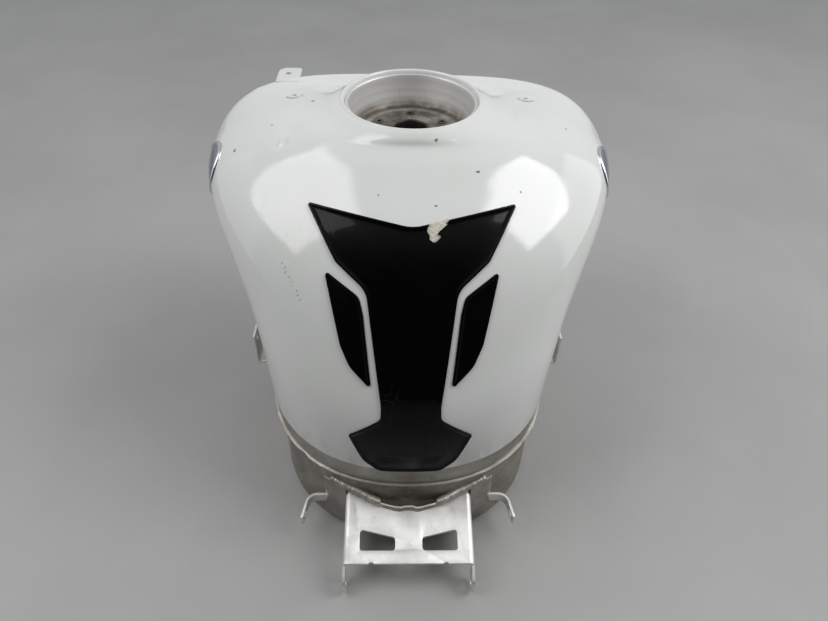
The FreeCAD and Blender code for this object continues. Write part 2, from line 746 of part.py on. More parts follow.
def folded_channel():
    """A long channel, open below, that slopes down to the rear."""
    inner_half = DECK_HALF - DECK_THICK
    inner_radius = DECK_FOLD_R - DECK_THICK
    inner_depth = DECK_DEPTH + 1.0
    section = rounded_face([(-DECK_HALF, 0, DECK_FOLD_R), (DECK_HALF, 0, DECK_FOLD_R),
                            (DECK_HALF, -DECK_DEPTH, 1), (-DECK_HALF, -DECK_DEPTH, 1)])
    inside = rounded_face([(-inner_half, -DECK_THICK, inner_radius), (inner_half, -DECK_THICK, inner_radius),
                           (inner_half, -inner_depth, 1), (-inner_half, -inner_depth, 1)])
    channel = section.cut(inside).extrude(Vector(0, 0, DECK_REACH[1] - DECK_REACH[0]))
    stand = Rotation(RIGHT, UP, BACKWARD, "XYZ")
    foot = Vector(0, DECK_REACH[1], deck_z(DECK_REACH[1]))
    channel.Placement = Placement(foot, deck_lean().multiply(stand))
    return channel


def make_rear_bracket(pan_outer):
    """The channel, cut to a deck with two windows, side flanges and ears with bolt holes."""
    ear_y, ear_z = EAR_HOLE
    root_y = DECK_REACH[1] - 3.0
    ear_bend_z = FLANGE_BOTTOM_Z + 2.0
    above = 8.0
    outline = [(root_y, deck_z(root_y) + above, 1), (DECK_REAR[0], DECK_REAR[1] + above, 1),
               (DECK_REAR[0], DECK_REAR[1] - DECK_THICK - 1.0, 1), (ear_y - EAR_R, ear_bend_z, 6),
               (ear_y - EAR_R, ear_z - EAR_R, EAR_R - 0.2), (ear_y + EAR_R, ear_z - EAR_R, EAR_R - 0.2),
               (ear_y + EAR_R + 1, ear_bend_z + 1.0, 6), (root_y, FLANGE_BOTTOM_Z, 1)]
    bracket = folded_channel().common(side_prism(outline, (-FAR, FAR)))
    bracket = bracket.cut(rod(EAR_HOLE_R, Vector(-FAR, ear_y, ear_z), Vector(FAR, ear_y, ear_z)))
    bracket = bracket.cut(pan_outer)
    opening = rounded_face(WINDOW).extrude(Vector(0, 0, FAR))
    notch_y = (DECK_REAR[0] - 5.0, DECK_REAR[0] + NOTCH_DEPTH)
    notch = box((NOTCH_X - NOTCH_HALF, NOTCH_X + NOTCH_HALF), notch_y, (ear_bend_z, FAR))
    for cutter in (opening, mirrored(opening), notch, mirrored(notch)):
        bracket = bracket.cut(cutter)
    return bracket


def on_pan_wall(pan_outer, thick, blank):
    """A plate or bead of a given thickness that lies against the outside of the pan's wall."""
    return pan_form(-thick, 0.0).common(blank).cut(pan_outer)


def make_wing(pan_outer):
    """The plate that carries the bracket's load out along the pan's wall."""
    return on_pan_wall(pan_outer, DECK_THICK, box((DECK_HALF, WING_X), (-FAR, PUMP_Y), WING_Z))


def make_strap(wing, pan_outer):
    """A hook strap on edge: out from the wing, round a bend and back, with a slot near its end."""
    half = STRAP_THICK / 2
    out = box((STRAP_ROOT_X, STRAP_X), (STRAP_Y - half, STRAP_Y + half), STRAP_Z)
    splayed = Placement(Vector(STRAP_X, STRAP_Y - STRAP_BEND_R, 0), Rotation(UP, STRAP_SPLAY))
    ring = upright(STRAP_BEND_R + half, 0, 0, STRAP_Z).cut(upright(STRAP_BEND_R - half, 0, 0, STRAP_Z))
    bend = ring.common(box((0, FAR), (0, FAR), STRAP_Z))
    leg_x = (STRAP_BEND_R - half, STRAP_BEND_R + half)
    slot_z = sum(STRAP_Z) / 2
    slot = box((0, FAR), STRAP_SLOT, (slot_z - STRAP_SLOT_HALF, slot_z + STRAP_SLOT_HALF))
    hook = bend.fuse(box(leg_x, (-STRAP_LEG, 0), STRAP_Z)).cut(slot)
    hook.Placement = splayed
    strap = out.fuse(hook.common(box((STRAP_X, FAR), (-FAR, FAR), STRAP_Z)))
    return strap.cut(wing).cut(pan_outer).removeSplitter()


def make_bead(pan_outer, wing):
    """The weld bead that climbs along the pan's wall from the deck to the top of the wing."""
    blank = box(BEAD_X, (-FAR, PUMP_Y), (-BEAD_HALF, BEAD_HALF))
    blank.Placement = Placement(Vector(0, 0, BEAD_MIDDLE_Z), Rotation(FORWARD, -BEAD_CLIMB))
    return on_pan_wall(pan_outer, BEAD_PROUD, blank).cut(wing).cut(under_deck())


def bowed_lip(x, step):
    """A stretch of the crescent: its upright lip, moved forwards by a step, and the shelf behind it."""
    centre = (0, CRESCENT_CENTRE_Y + step)
    stretch = box(x, (-FAR, CRESCENT_CENTRE_Y), CRESCENT_Z)
    disc = upright(CRESCENT_R, *centre, CRESCENT_Z)
    lip = disc.cut(upright(CRESCENT_R - CRESCENT_THICK, *centre, CRESCENT_Z))
    shelf = disc.common(box(x, (-FAR, CRESCENT_CENTRE_Y), SHELF_Z))
    return lip.common(stretch).fuse(shelf)


def make_crescent(pan_outer, bead):
    """The crescent that stiffens the join of pan and deck, with a joggle in its middle."""
    side = bowed_lip((JOGGLE_HALF, CRESCENT_HALF), 0.0)
    whole = side.fuse(mirrored(side)).fuse(bowed_lip((-JOGGLE_HALF, JOGGLE_HALF), JOGGLE_STEP))
    whole = whole.cut(pan_outer).cut(under_deck()).cut(bead).cut(mirrored(bead))
    return whole.removeSplitter()


# ---- Front mounting pegs ----

def tunnel_half(y):
    """Half the tunnel's width at a place along it."""
    share = (y - TUNNEL_REAR_Y) / (TUNNEL_FRONT_Y - TUNNEL_REAR_Y)
    return TUNNEL_REAR_HALF + (TUNNEL_FRONT_HALF - TUNNEL_REAR_HALF) * share


def make_peg():
    """A peg with a round foot on the side wall of the tunnel, and the rubber that it carries."""
    def on_axis(x):
        return Vector(x, PEG_Y, PEG_Z)

    wall = tunnel_half(PEG_Y)
    foot_x = wall - PEG_FOOT_THICK
    outside = on_axis(wall + PEG_FOOT_THICK)
    foot = rod(PEG_FOOT_R, on_axis(foot_x), outside)
    peg = rod(PEG_R, on_axis(wall - PEG_LENGTH), outside)
    rubber = tube(RUBBER_R, PEG_R, on_axis(foot_x - RUBBER_LENGTH), on_axis(foot_x))
    return foot.fuse(peg).common(hollow_below(0.0)), rubber


# ---- Pump module ----

def stud_places():
    return around(STUDS, STUD_PITCH_R, (0, PUMP_Y), 0)


def pierced(shape, radius):
    """A plate with a hole for each stud."""
    for x, y in stud_places():
        shape = shape.cut(upright(radius, x, y, (0.0, FAR)))
    return shape


def make_flange_ring():
    return upright(FLANGE_R, 0, PUMP_Y, FLANGE_Z).cut(upright(FLANGE_BORE, 0, PUMP_Y, FLANGE_Z))


def make_studs():
    z = (STUD_END_Z, FLANGE_Z[0])
    return Part.makeCompound([upright(STUD_R, x, y, z) for x, y in stud_places()])


def make_nuts():
    nuts = []
    for x, y in stud_places():
        corners = [Vector(px, py, NUT_Z[0]) for px, py in around(6, NUT_CORNER_R, (x, y), 30)]
        hexagon = Part.Face(Part.makePolygon(corners + [corners[0]]))
        nut = hexagon.extrude(Vector(0, 0, NUT_Z[1] - NUT_Z[0]))
        nuts.append(nut.cut(upright(STUD_R, x, y, NUT_Z)))
    return Part.makeCompound(nuts)


def make_gasket():
    ring = upright(COVER_R, 0, PUMP_Y, GASKET_Z).cut(upright(FLANGE_BORE, 0, PUMP_Y, GASKET_Z))
    return pierced(ring, STUD_R + STUD_CLEARANCE)


def make_pump_cover():
    """The flange plate, with the passage that feeds the outlet."""
    cover = pierced(upright(COVER_R, 0, PUMP_Y, COVER_Z), STUD_R + STUD_CLEARANCE)
    return cover.cut(upright(OUTLET_BORE, 0, PUMP_Y + OUTLET_Y, COVER_Z))


def make_holder():
    """The rail that stands on the cover and clamps the pump with two bands."""
    rail = box(RAIL_X, (PUMP_Y + RAIL_Y[0], PUMP_Y + RAIL_Y[1]), (COVER_Z[1], RAIL_TOP_Z))
    for z in BAND_HEIGHTS:
        band = (z, z + BAND_TALL)
        ring = upright(CASING_R + BAND_THICK, CASING_X, PUMP_Y, band)
        bridge = box((CASING_X + CASING_R, RAIL_X[0]), (PUMP_Y + BRIDGE_Y[0], PUMP_Y + BRIDGE_Y[1]), band)
        rail = rail.fuse(ring).fuse(bridge)
    return rail.cut(upright(CASING_R, CASING_X, PUMP_Y, CASING_Z)).removeSplitter()


def make_casing():
    """The pump's can with a journal for the shaft at each end and an outlet spigot on top."""
    low, high = CASING_Z
    can = upright(CASING_R, CASING_X, PUMP_Y, CASING_Z)
    can = can.cut(upright(CASING_R - CASING_WALL, CASING_X, PUMP_Y, (low + CASING_END, high - CASING_END)))
    can = can.fuse(upright(BOSS_R, CASING_X, PUMP_Y, (low, low + BOSS_LENGTH)))
    can = can.fuse(upright(BOSS_R, CASING_X, PUMP_Y, (high - BOSS_LENGTH, high)))
    journal = SHAFT_R + RUNNING_CLEARANCE
    can = can.cut(upright(journal, CASING_X, PUMP_Y, (low + JOURNAL_END, high - JOURNAL_END)))
    return can.fuse(upright(PIPE_BORE, CASING_X, PUMP_Y, (high, high + SPIGOT_LENGTH)))


def make_rotor():
    """Shaft, armature and vaned impeller of the pump, all turning together."""
    low, high = CASING_Z
    shaft = upright(SHAFT_R, CASING_X, PUMP_Y, (low + SHAFT_END_GAP, high - SHAFT_END_GAP))
    armature = upright(ARMATURE_R, CASING_X, PUMP_Y, ARMATURE_Z)
    for x, y in around(ARMATURE_SLOTS, ARMATURE_R, (CASING_X, PUMP_Y), 0):
        armature = armature.cut(upright(ARMATURE_SLOT_R, x, y, CASING_Z))
    impeller = upright(IMPELLER_R, CASING_X, PUMP_Y, IMPELLER_Z)
    for x, y in around(IMPELLER_VANES, IMPELLER_GAP_PITCH_R, (CASING_X, PUMP_Y), 0):
        impeller = impeller.cut(upright(IMPELLER_GAP_R, x, y, CASING_Z))
    bore = upright(SHAFT_R, CASING_X, PUMP_Y, CASING_Z)
    return shaft, armature.cut(bore), impeller.cut(bore)


def make_strainer():
    """The inlet filter below the pump, with its neck."""
    sock = upright(STRAINER_R, CASING_X, PUMP_Y, STRAINER_Z)
    return sock.fuse(upright(STRAINER_NECK_R, CASING_X, PUMP_Y, (STRAINER_Z[1], CASING_Z[0])))


def make_regulator():
    """The pressure regulator: a body with a crimped waist and a spigot on top."""
    x, y = REGULATOR_XY[0], PUMP_Y + REGULATOR_XY[1]
    top = REGULATOR_Z[1]
    body = upright(REGULATOR_R, x, y, REGULATOR_Z)
    waist = upright(REGULATOR_WAIST_R, x, y, REGULATOR_WAIST_Z)
    return body.fuse(waist).fuse(upright(PIPE_BORE, x, y, (top, top + REGULATOR_SPIGOT)))


def make_pump_hose():
    """The short hose that loops from the pump's outlet down to the regulator."""
    start = Vector(CASING_X, PUMP_Y, CASING_Z[1])
    end = Vector(REGULATOR_XY[0], PUMP_Y + REGULATOR_XY[1], REGULATOR_Z[1])
    rise = Vector(start.x, start.y, HOSE_CROWN_Z)
    fall = Vector(end.x, end.y, HOSE_CROWN_Z)
    radius = (fall - rise).Length / 2
    top = (rise + fall) * 0.5 + UP * radius
    path = Part.Wire([Part.LineSegment(start, rise).toShape(), Part.Arc(rise, top, fall).toShape(),
                      Part.LineSegment(fall, end).toShape()])
    hose = path.makePipeShell([Part.Wire(Part.makeCircle(HOSE_R, start, UP))], True, False)
    bore = path.makePipeShell([Part.Wire(Part.makeCircle(PIPE_BORE, start, UP))], True, False)
    return hose.cut(bore)


def make_outlet():
    """The elbow under the cover that carries the fuel forwards into the tunnel."""
    y = PUMP_Y + OUTLET_Y
    knee = Vector(0, y, OUTLET_Z)
    top = Vector(0, y, COVER_Z[0])
    leg_end = knee + FORWARD * OUTLET_LENGTH
    barb_end = leg_end + FORWARD * BARB_LENGTH
    elbow = rod(OUTLET_R, top, knee).fuse(Part.makeSphere(OUTLET_R, knee))
    elbow = elbow.fuse(rod(OUTLET_R, knee, leg_end)).fuse(rod(BARB_R, leg_end, barb_end))
    return elbow.cut(rod(OUTLET_BORE, knee, barb_end)).cut(rod(OUTLET_BORE, knee, top))


def make_socket():
    """The electrical socket under the cover and its row of pins."""
    y = (PUMP_Y - SOCKET_HALF, PUMP_Y + SOCKET_HALF)
    roof = COVER_Z[0] - SOCKET_ROOF
    shell = box(SOCKET_X, y, (SOCKET_BOTTOM_Z, COVER_Z[0]))
    inner_x = (SOCKET_X[0] + SOCKET_WALL, SOCKET_X[1] - SOCKET_WALL)
    inner_y = (y[0] + SOCKET_WALL, y[1] - SOCKET_WALL)
    space = box(inner_x, inner_y, (0.0, roof))
    pins = []
    for number in range(PINS):
        x = SOCKET_X[0] + PIN_FIRST + PIN_PITCH * number
        pins.append(box((x - PIN_HALF, x + PIN_HALF), (PUMP_Y - PIN_HALF, PUMP_Y + PIN_HALF),
                        (SOCKET_BOTTOM_Z + SOCKET_ROOF, roof)))
    return shell.cut(space), Part.makeCompound(pins)


def make_sender():
    """The sender's body on the rail, with the pin that the arm turns on."""
    y = (PUMP_Y + SENDER_Y[0], PUMP_Y + SENDER_Y[1])
    body = box((RAIL_X[1], SENDER_X_END), y, SENDER_Z)
    start = Vector(SENDER_AXIS_X, y[1], SENDER_AXIS_Z)
    return body.fuse(rod(SENDER_PIN_R, start, start + FORWARD * SENDER_PIN_LENGTH))


def make_float_arm():
    """The hub and bent wire of the sender's arm, and the float on its end, at the empty stop."""
    axis = Vector(SENDER_AXIS_X, PUMP_Y + SENDER_Y[1] + HUB_GAP, SENDER_AXIS_Z)
    angle = math.radians(ARM_LOW)
    along = Vector(math.cos(angle), 0, math.sin(angle))
    hub = rod(HUB_R, axis, axis + FORWARD * HUB_LENGTH)
    hub = hub.cut(rod(SENDER_PIN_R + RUNNING_CLEARANCE, axis, axis + FORWARD * HUB_LENGTH))
    wire_line = axis + FORWARD * (HUB_LENGTH / 2)
    corner = wire_line + along * ARM_LENGTH
    wire = rod(WIRE_R, wire_line + along * (HUB_R - 0.3), corner).fuse(Part.makeSphere(WIRE_R, corner))
    wire = wire.fuse(rod(WIRE_R, corner, corner + FORWARD * (FLOAT_GAP + FLOAT_LENGTH + WIRE_OVERHANG)))
    start = corner + FORWARD * FLOAT_GAP
    buoy = tube(FLOAT_R, WIRE_R, start, start + FORWARD * FLOAT_LENGTH)
    return hub.fuse(wire), buoy


# ---- Everything, written piece by piece ----

def write_body():
    outer = skin_solid(0.0)
    raised = skin_solid(PAD_THICK)
    upper_shell, lower_pan, seam_lip, tunnel, inner, pan_outer = make_body(outer)

    insert, insert_seat = make_cover_insert()
    upper_shell = upper_shell.cut(insert_seat).cut(mirrored(insert_seat))
    for place in (DRAIN_XY, BREATHER_XY):
        tunnel = tunnel.cut(upright(PIPE_R, *place, (0.0, FAR)))
    tunnel = tunnel.cut(upright(FLANGE_R, 0, PUMP_Y, (COVER_Z[0], FLANGE_Z[1])))
    export("upper_shell", upper_shell)
    export("lower_pan", lower_pan)
    export("seam_lip", seam_lip)
    export("tunnel_panel", tunnel)
    export_pair("cover_insert", insert)

    side_baffle, centre_baffle = make_baffles(inner)
    export_pair("baffle", side_baffle)
    export("baffle_centre", centre_baffle)

    bezel, face = badge_blanks()
    export_pair_on_skin("badge_bezel", bezel, outer, raised)
    export_pair_on_skin("badge_face", face, outer, raised)
    export("tank_pad_centre", on_skin(pad_blank(centre_pad_outline()), outer, raised))
    export_pair_on_skin("tank_pad", pad_blank(SIDE_PAD), outer, raised)
    export("front_tab", make_front_tab(outer))
    export_pair("side_tab", make_side_tab(pan_outer))
    return pan_outer


def write_filler():
    export("filler_cup", make_cup())
    export("filler_neck", make_neck())
    export("cap_screw_inserts", make_cap_inserts())
    export("cup_drain_pipe", make_pipe(DRAIN_XY, DRAIN_TOP_Z))
    export("breather_pipe", make_pipe(BREATHER_XY, BREATHER_TOP_Z))


def write_bracket(pan_outer):
    bracket = make_rear_bracket(pan_outer)
    wing = make_wing(pan_outer)
    export("rear_bracket", bracket)
    export_pair("bracket_wing", wing)
    export_pair("hook_strap", make_strap(wing, pan_outer))
    bead = make_bead(pan_outer, wing)
    export_pair("weld_bead", bead)
    export("pan_stiffener", make_crescent(pan_outer, bead))
    peg, rubber = make_peg()
    export_pair("mount_peg", peg)
    export_pair("mount_rubber", rubber)


def write_pump():
    export("pump_flange_ring", make_flange_ring())
    export("pump_studs", make_studs())
    export("pump_nuts", make_nuts())
    export("pump_gasket", make_gasket())
    export("pump_cover", make_pump_cover())
    export("pump_holder", make_holder())
    export("pump_casing", make_casing())
    shaft, armature, impeller = make_rotor()
    export("pump_shaft", shaft)
    export("pump_armature", armature)
    export("pump_impeller", impeller)
    export("inlet_strainer", make_strainer())
    export("pressure_regulator", make_regulator())
    export("pump_hose", make_pump_hose())
    export("outlet_elbow", make_outlet())
    socket, pins = make_socket()
    export("pump_socket", socket)
    export("socket_pins", pins)
    export("level_sender", make_sender())
    arm, buoy = make_float_arm()
    export("float_arm", arm)
    export("float", buoy)


os.makedirs("parts", exist_ok=True)
body_pan = write_body()
write_filler()
write_bracket(body_pan)
write_pump()
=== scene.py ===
import json
import math

import bmesh
import bpy
import numpy as np
from mathutils import Matrix, Vector
from mathutils.bvhtree import BVHTree
from mathutils.geometry import delaunay_2d_cdt
from mathutils.interpolate import poly_3d_calc


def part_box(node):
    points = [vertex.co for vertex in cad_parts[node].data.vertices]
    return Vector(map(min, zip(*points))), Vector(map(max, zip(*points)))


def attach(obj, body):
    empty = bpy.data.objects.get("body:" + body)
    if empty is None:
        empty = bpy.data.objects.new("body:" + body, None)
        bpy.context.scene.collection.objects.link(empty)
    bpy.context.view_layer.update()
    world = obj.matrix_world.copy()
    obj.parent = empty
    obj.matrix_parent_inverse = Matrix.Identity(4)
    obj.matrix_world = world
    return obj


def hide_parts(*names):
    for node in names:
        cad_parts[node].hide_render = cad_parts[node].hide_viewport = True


# A motorcycle fuel tank, seen from behind and above. Shapes are worked out in millimetres about the
# filler axis, +Y towards the front wheel, +X to the rider's right and z = 0 on the floor; in_frame()
# turns them into the frame's metres.

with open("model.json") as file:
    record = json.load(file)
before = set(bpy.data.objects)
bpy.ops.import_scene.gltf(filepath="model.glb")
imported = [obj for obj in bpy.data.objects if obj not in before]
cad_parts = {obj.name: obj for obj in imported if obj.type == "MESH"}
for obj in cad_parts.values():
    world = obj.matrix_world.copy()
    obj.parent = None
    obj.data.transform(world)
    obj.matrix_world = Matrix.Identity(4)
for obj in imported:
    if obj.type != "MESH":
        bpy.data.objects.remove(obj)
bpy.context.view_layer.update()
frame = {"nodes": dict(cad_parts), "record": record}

TANK = "tank"
MM = 0.001
cup_low, cup_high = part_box("filler_cup")
FILLER_Y = (cup_low.y + cup_high.y) / 2
RIGHT = np.array([1.0, 0.0, 0.0])
UP = np.array([0.0, 0.0, 1.0])

# ---- Dimensions that the skin shares with the CAD model (mm) ----
WALL = 2.0
SEAM_REAR = (-242.0, 79.4)          # y, z of the seam's rearmost point
SEAM_SLOPE = 0.18
LIP_THICK = 2.4
PAN_INSET = 5.0
PAN_FOOT_REACH = 147.0              # reach of the pan to the rear, on the floor ...
PAN_DRAFT = 0.2125                  # ... and how much it loses with each millimetre of height
PAN_EDGE_R = 10.0
SKIN_TOP_Z = 378.2

# centre, half width, reach to the rear and front, exponents of the rear and front halves, heights at
# the rear, side and front. The first two rows' heights are above the plane of the seam.
RINGS = np.array([
    (-110, 147, 132, 222, 2.25, 2.6, 0, 0, 0),
    (-109, 149, 135, 224, 2.25, 2.6, 24, 24, 24),
    (-98, 155, 148, 218, 2.2, 2.7, 168, 200, 240),
    (-80, 167, 142, 204, 2.2, 2.8, 228, 243, 286),
    (-50, 186, 138, 172, 2.25, 2.9, 280, 277, 319),
    (-20, 200, 132, 138, 2.3, 3.0, 318, 301, 343),
    (4, 201, 122, 105, 2.3, 3.1, 342, 325, 350.5),
    (8, 179, 103, 90, 2.3, 3.6, 357.5, 345, 360),
    (4, 138, 85, 84, 2.2, 3.6, 366, 361, 355),
    (0, 97, 77, 80, 2.1, 2.4, 371.5, 368, 358),
    (0, 69.5, 69.5, 69.5, 2.0, 2.0, 378.2, 378.2, 378.2),
])
LAST_RING = len(RINGS) - 1
BAND_HEIGHT = RINGS[1, 6]           # the unpainted band below the paint's lower edge
COLUMNS = 480
ROW_STEP = 2.3                      # height of a row of the skin's mesh
INNER_ROW_STEP = 9.0


# ---- Meshes and objects ----

def unit(vectors):
    """Vectors of length one in the same directions."""
    return vectors / np.linalg.norm(vectors, axis=-1, keepdims=True)


def ease(share):
    """A share held between 0 and 1, with a soft start and end."""
    share = np.clip(share, 0, 1)
    return share ** 2 * (3 - 2 * share)


def full_turn(count):
    """Evenly spaced angles all the way round."""
    return np.linspace(0, 2 * math.pi, count, endpoint=False)


def in_frame(points):
    """Millimetres about the filler axis, turned into the frame's metres."""
    return np.asarray(points, float) * MM + (0.0, FILLER_Y, 0.0)


def new_piece(name, points, faces, smooth_angle=40.0):
    """A mesh object from points in millimetres, with its faces turned outwards."""
    mesh = bpy.data.meshes.new(name)
    mesh.from_pydata(in_frame(points).tolist(), [], [list(map(int, face)) for face in faces])
    piece = bpy.data.objects.new(name, mesh)
    bpy.context.scene.collection.objects.link(piece)
    turn_outwards(piece)
    smooth(piece, smooth_angle)
    return piece


def turn_outwards(piece):
    work = bmesh.new()
    work.from_mesh(piece.data)
    bmesh.ops.recalc_face_normals(work, faces=work.faces)
    work.to_mesh(piece.data)
    work.free()


def smooth(piece, angle=40.0):
    """Smooth shading that stays sharp at edges steeper than an angle in degrees."""
    piece.data.shade_smooth()
    piece.data.set_sharp_from_angle(angle=math.radians(angle))


def apply_modifiers(piece):
    graph = bpy.context.evaluated_depsgraph_get()
    mesh = bpy.data.meshes.new_from_object(piece.evaluated_get(graph))
    piece.modifiers.clear()
    old = piece.data
    piece.data = mesh
    bpy.data.meshes.remove(old)


def boolean(piece, cutter, operation="DIFFERENCE"):
    """Cuts a piece with a cutter, or keeps what they share, and removes the cutter."""
    modifier = piece.modifiers.new("cut", "BOOLEAN")
    modifier.operation = operation
    modifier.solver = "EXACT"
    modifier.object = cutter
    apply_modifiers(piece)
    bpy.data.objects.remove(cutter)


BEVEL_ANGLE = 30.0


def bevel(piece, width, segments=2):
    """Rounds the edges of a piece by a width in millimetres."""
    modifier = piece.modifiers.new("bevel", "BEVEL")
    modifier.width = width * MM
    modifier.segments = segments
    modifier.limit_method = "ANGLE"
    modifier.angle_limit = math.radians(BEVEL_ANGLE)
    modifier.use_clamp_overlap = True
    apply_modifiers(piece)
    smooth(piece, 50.0)
    return piece


def finish_piece(piece, material, replaces=()):
    """Gives a piece its material and finish, and sets it on the tank in place of CAD nodes."""
    piece.data.materials.clear()
    piece.data.materials.append(material)
    settle(piece, replaces)


def settle(piece, replaces=()):
    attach(piece, TANK)
    if replaces:
        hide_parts(*replaces)


def grid_faces(rows, columns, close_rows=False, close_columns=True):
    """Quads between the successive rows of a grid of points."""
    index = np.arange(rows * columns).reshape(rows, columns)
    if close_columns:
        index = np.concatenate([index, index[:, :1]], axis=1)
    if close_rows:
        index = np.concatenate([index, index[:1]], axis=0)
    corners = (index[:-1, :-1], index[:-1, 1:], index[1:, 1:], index[1:, :-1])
    return np.stack(corners, axis=-1).reshape(-1, 4)


def lofted(name, rows, smooth_angle=40.0):
    """A closed piece through closed rows of points, with a flat cap on its first and last row."""
    rows = np.asarray(rows)
    count, columns = rows.shape[:2]
    faces = grid_faces(count, columns).tolist()
    faces.append(list(range(columns)))
    faces.append(list(range((count - 1) * columns, count * columns)))
    return new_piece(name, rows.reshape(-1, 3), faces, smooth_angle)


def prism(name, outline, low, high, place):
    """A straight prism; place(u, v, w) turns the outline's u, v and the prism's w into x, y, z."""
    outline = np.asarray(outline, float)
    rows = [place(outline[:, 0], outline[:, 1], np.full(len(outline), level)) for level in (low, high)]
    return lofted(name, rows)


def seen_from_above(u, v, w):
    return np.stack([u, v, w], axis=-1)


def seen_from_side(u, v, w):
    """u runs along y, v along z and w along x."""
    return np.stack([w, u, v], axis=-1)


def arc(radius, count=32, centre=(0.0, 0.0)):
    turns = full_turn(count)
    return np.stack([centre[0] + radius * np.cos(turns), centre[1] + radius * np.sin(turns)], axis=-1)


def rounded(corners, steps=8):
    """The points of a polygon whose corners (x, y, radius) are rounded by arcs."""
    points = []
    count = len(corners)
    for number, (x, y, radius) in enumerate(corners):
        here = np.array([x, y], float)
        before = unit(np.array(corners[number - 1][:2], float) - here)
        after = unit(np.array(corners[(number + 1) % count][:2], float) - here)
        half = math.acos(np.clip(before @ after, -1, 1)) / 2
        middle = unit(before + after)
        centre = here + middle * radius / math.sin(half)
        start = here + before * radius / math.tan(half) - centre
        end = here + after * radius / math.tan(half) - centre
        for share in np.linspace(0, 1, steps):
            spoke = start * (1 - share) + end * share
            points.append(centre + unit(spoke) * radius)
    return np.array(points)


def parts_needed(outline, longest):
    """How many parts no longer than a length each side of a closed outline takes."""
    sides = np.roll(outline, -1, axis=0) - outline
    return np.maximum(1, np.ceil(np.linalg.norm(sides, axis=1) / longest).astype(int))


def subdivided(outline, parts):
    """A closed outline with each side cut into its own number of equal parts."""
    line = []
    for here, there, count in zip(outline, np.roll(outline, -1, axis=0), parts):
        for share in np.arange(count) / count:
            line.append(here * (1 - share) + there * share)
    return np.array(line)


def inset(corners, distance):
    """A polygon moved inwards; its outer corners' radii shrink and its inner corners' radii grow."""
    points = np.array([corner[:2] for corner in corners], float)
    following = np.roll(points, -1, axis=0)
    leading = np.roll(points, 1, axis=0)
    area = np.sum(points[:, 0] * following[:, 1] - following[:, 0] * points[:, 1])
    spin = math.copysign(1.0, area)
    moved = []
    for number, here in enumerate(points):
        into = unit(here - leading[number])
        away = unit(following[number] - here)
        turn = (into[0] * away[1] - into[1] * away[0]) * spin
        inward_in = np.array([-into[1], into[0]]) * spin
        inward_out = np.array([-away[1], away[0]]) * spin
        miter = (inward_in + inward_out) / (1.0 + inward_in @ inward_out)
        radius = corners[number][2] - math.copysign(distance, turn)
        moved.append((*(here + miter * distance), max(radius, 0.3)))
    return moved


def fine_noise(turns, waves, seed):
    """A smooth wave of about unit height that closes on itself, from a few sines."""
    draw = np.random.default_rng(seed)
    total = np.zeros_like(turns)
    for wave in waves:
        total += np.sin(wave * turns + draw.uniform(0, 2 * math.pi)) * draw.uniform(0.5, 1.0)
    return total / math.sqrt(len(waves))


# ---- The skin's formula ----

def seam_height(y):
    return SEAM_REAR[1] + SEAM_SLOPE * (y - SEAM_REAR[0])


def ring_table():
    """The rings with every height measured from the floor."""
    table = RINGS.copy()
    for row in table[:2]:
        centre, _, rear, front = row[:4]
        row[6:] += (seam_height(centre - rear), seam_height(centre), seam_height(centre + front))
    return table


def bends(values):
    """Second differences of the natural spline through the rings' values."""
    last = len(values) - 1
    matrix = np.eye(last + 1)
    known = np.zeros_like(values)
    for i in range(1, last):
        matrix[i, i - 1:i + 2] = (1, 4, 1)
        known[i] = 6 * (values[i + 1] - 2 * values[i] + values[i - 1])
    return np.linalg.solve(matrix, known)


TABLE = ring_table()
BENDS = bends(TABLE)


def ring_values(ring):
    ring = np.asarray(ring, float)
    i = np.clip(ring.astype(int), 0, LAST_RING - 1)
    near = (i + 1 - ring)[..., None]
    far = (ring - i)[..., None]
    curve = (near ** 3 - near) * BENDS[i] + (far ** 3 - far) * BENDS[i + 1]
    return near * TABLE[i] + far * TABLE[i + 1] + curve / 6


def superellipse(angle, half, rear, front, n_rear, n_front):
    along = np.sin(angle)
    reach = np.where(along < 0, rear, front)
    power = np.where(along < 0, n_rear, n_front)
    return (np.abs(np.cos(angle) / half) ** power + np.abs(along / reach) ** power) ** (-1 / power)


def skin_points(ring, angle):
    """Points of the outer skin; a ring's height follows a parabola from rear to front."""
    values = np.moveaxis(ring_values(ring), -1, 0)
    centre, half, rear, front, n_rear, n_front, z_rear, z_side, z_front = values
    radius = superellipse(angle, half, rear, front, n_rear, n_front)
    along = radius * np.sin(angle)
    fall_rear = (z_side - z_rear) / rear
    rise_front = (z_front - z_side) / front
    curve = (rise_front - fall_rear) / (front + rear)
    slope = rise_front - curve * front
    return np.stack([radius * np.cos(angle), centre + along, z_side + slope * along + curve * along ** 2], -1)


def skin_normals(ring, angle):
    small = 0.002
    upper = np.minimum(ring + small, LAST_RING)
    lower = np.maximum(ring - small, 0)
    climb = skin_points(upper, angle) - skin_points(lower, angle)
    round_skin = skin_points(ring, angle + small) - skin_points(ring, angle - small)
    return unit(np.cross(round_skin, climb))


def seam_outline(offset, angle):
    """x and y of the seam's outline, moved outwards by an offset."""
    centre, half, rear, front, n_rear, n_front = RINGS[0, :6]
    radius = superellipse(angle, half + offset, rear + offset, front + offset, n_rear, n_front)
    return radius * np.cos(angle), centre + radius * np.sin(angle)


def pan_outline(inset_by, z, angle):
    """x and y of the pan's outline at a height, moved inwards; its rear wall leans forwards."""
    centre, half, _, front, n_rear, n_front = RINGS[0, :6]
    inwards = PAN_INSET + inset_by
    rear = PAN_FOOT_REACH - PAN_DRAFT * z - inset_by
    radius = superellipse(angle, half - inwards, rear, front - inwards, n_rear, n_front)
    return radius * np.cos(angle), centre + radius * np.sin(angle)


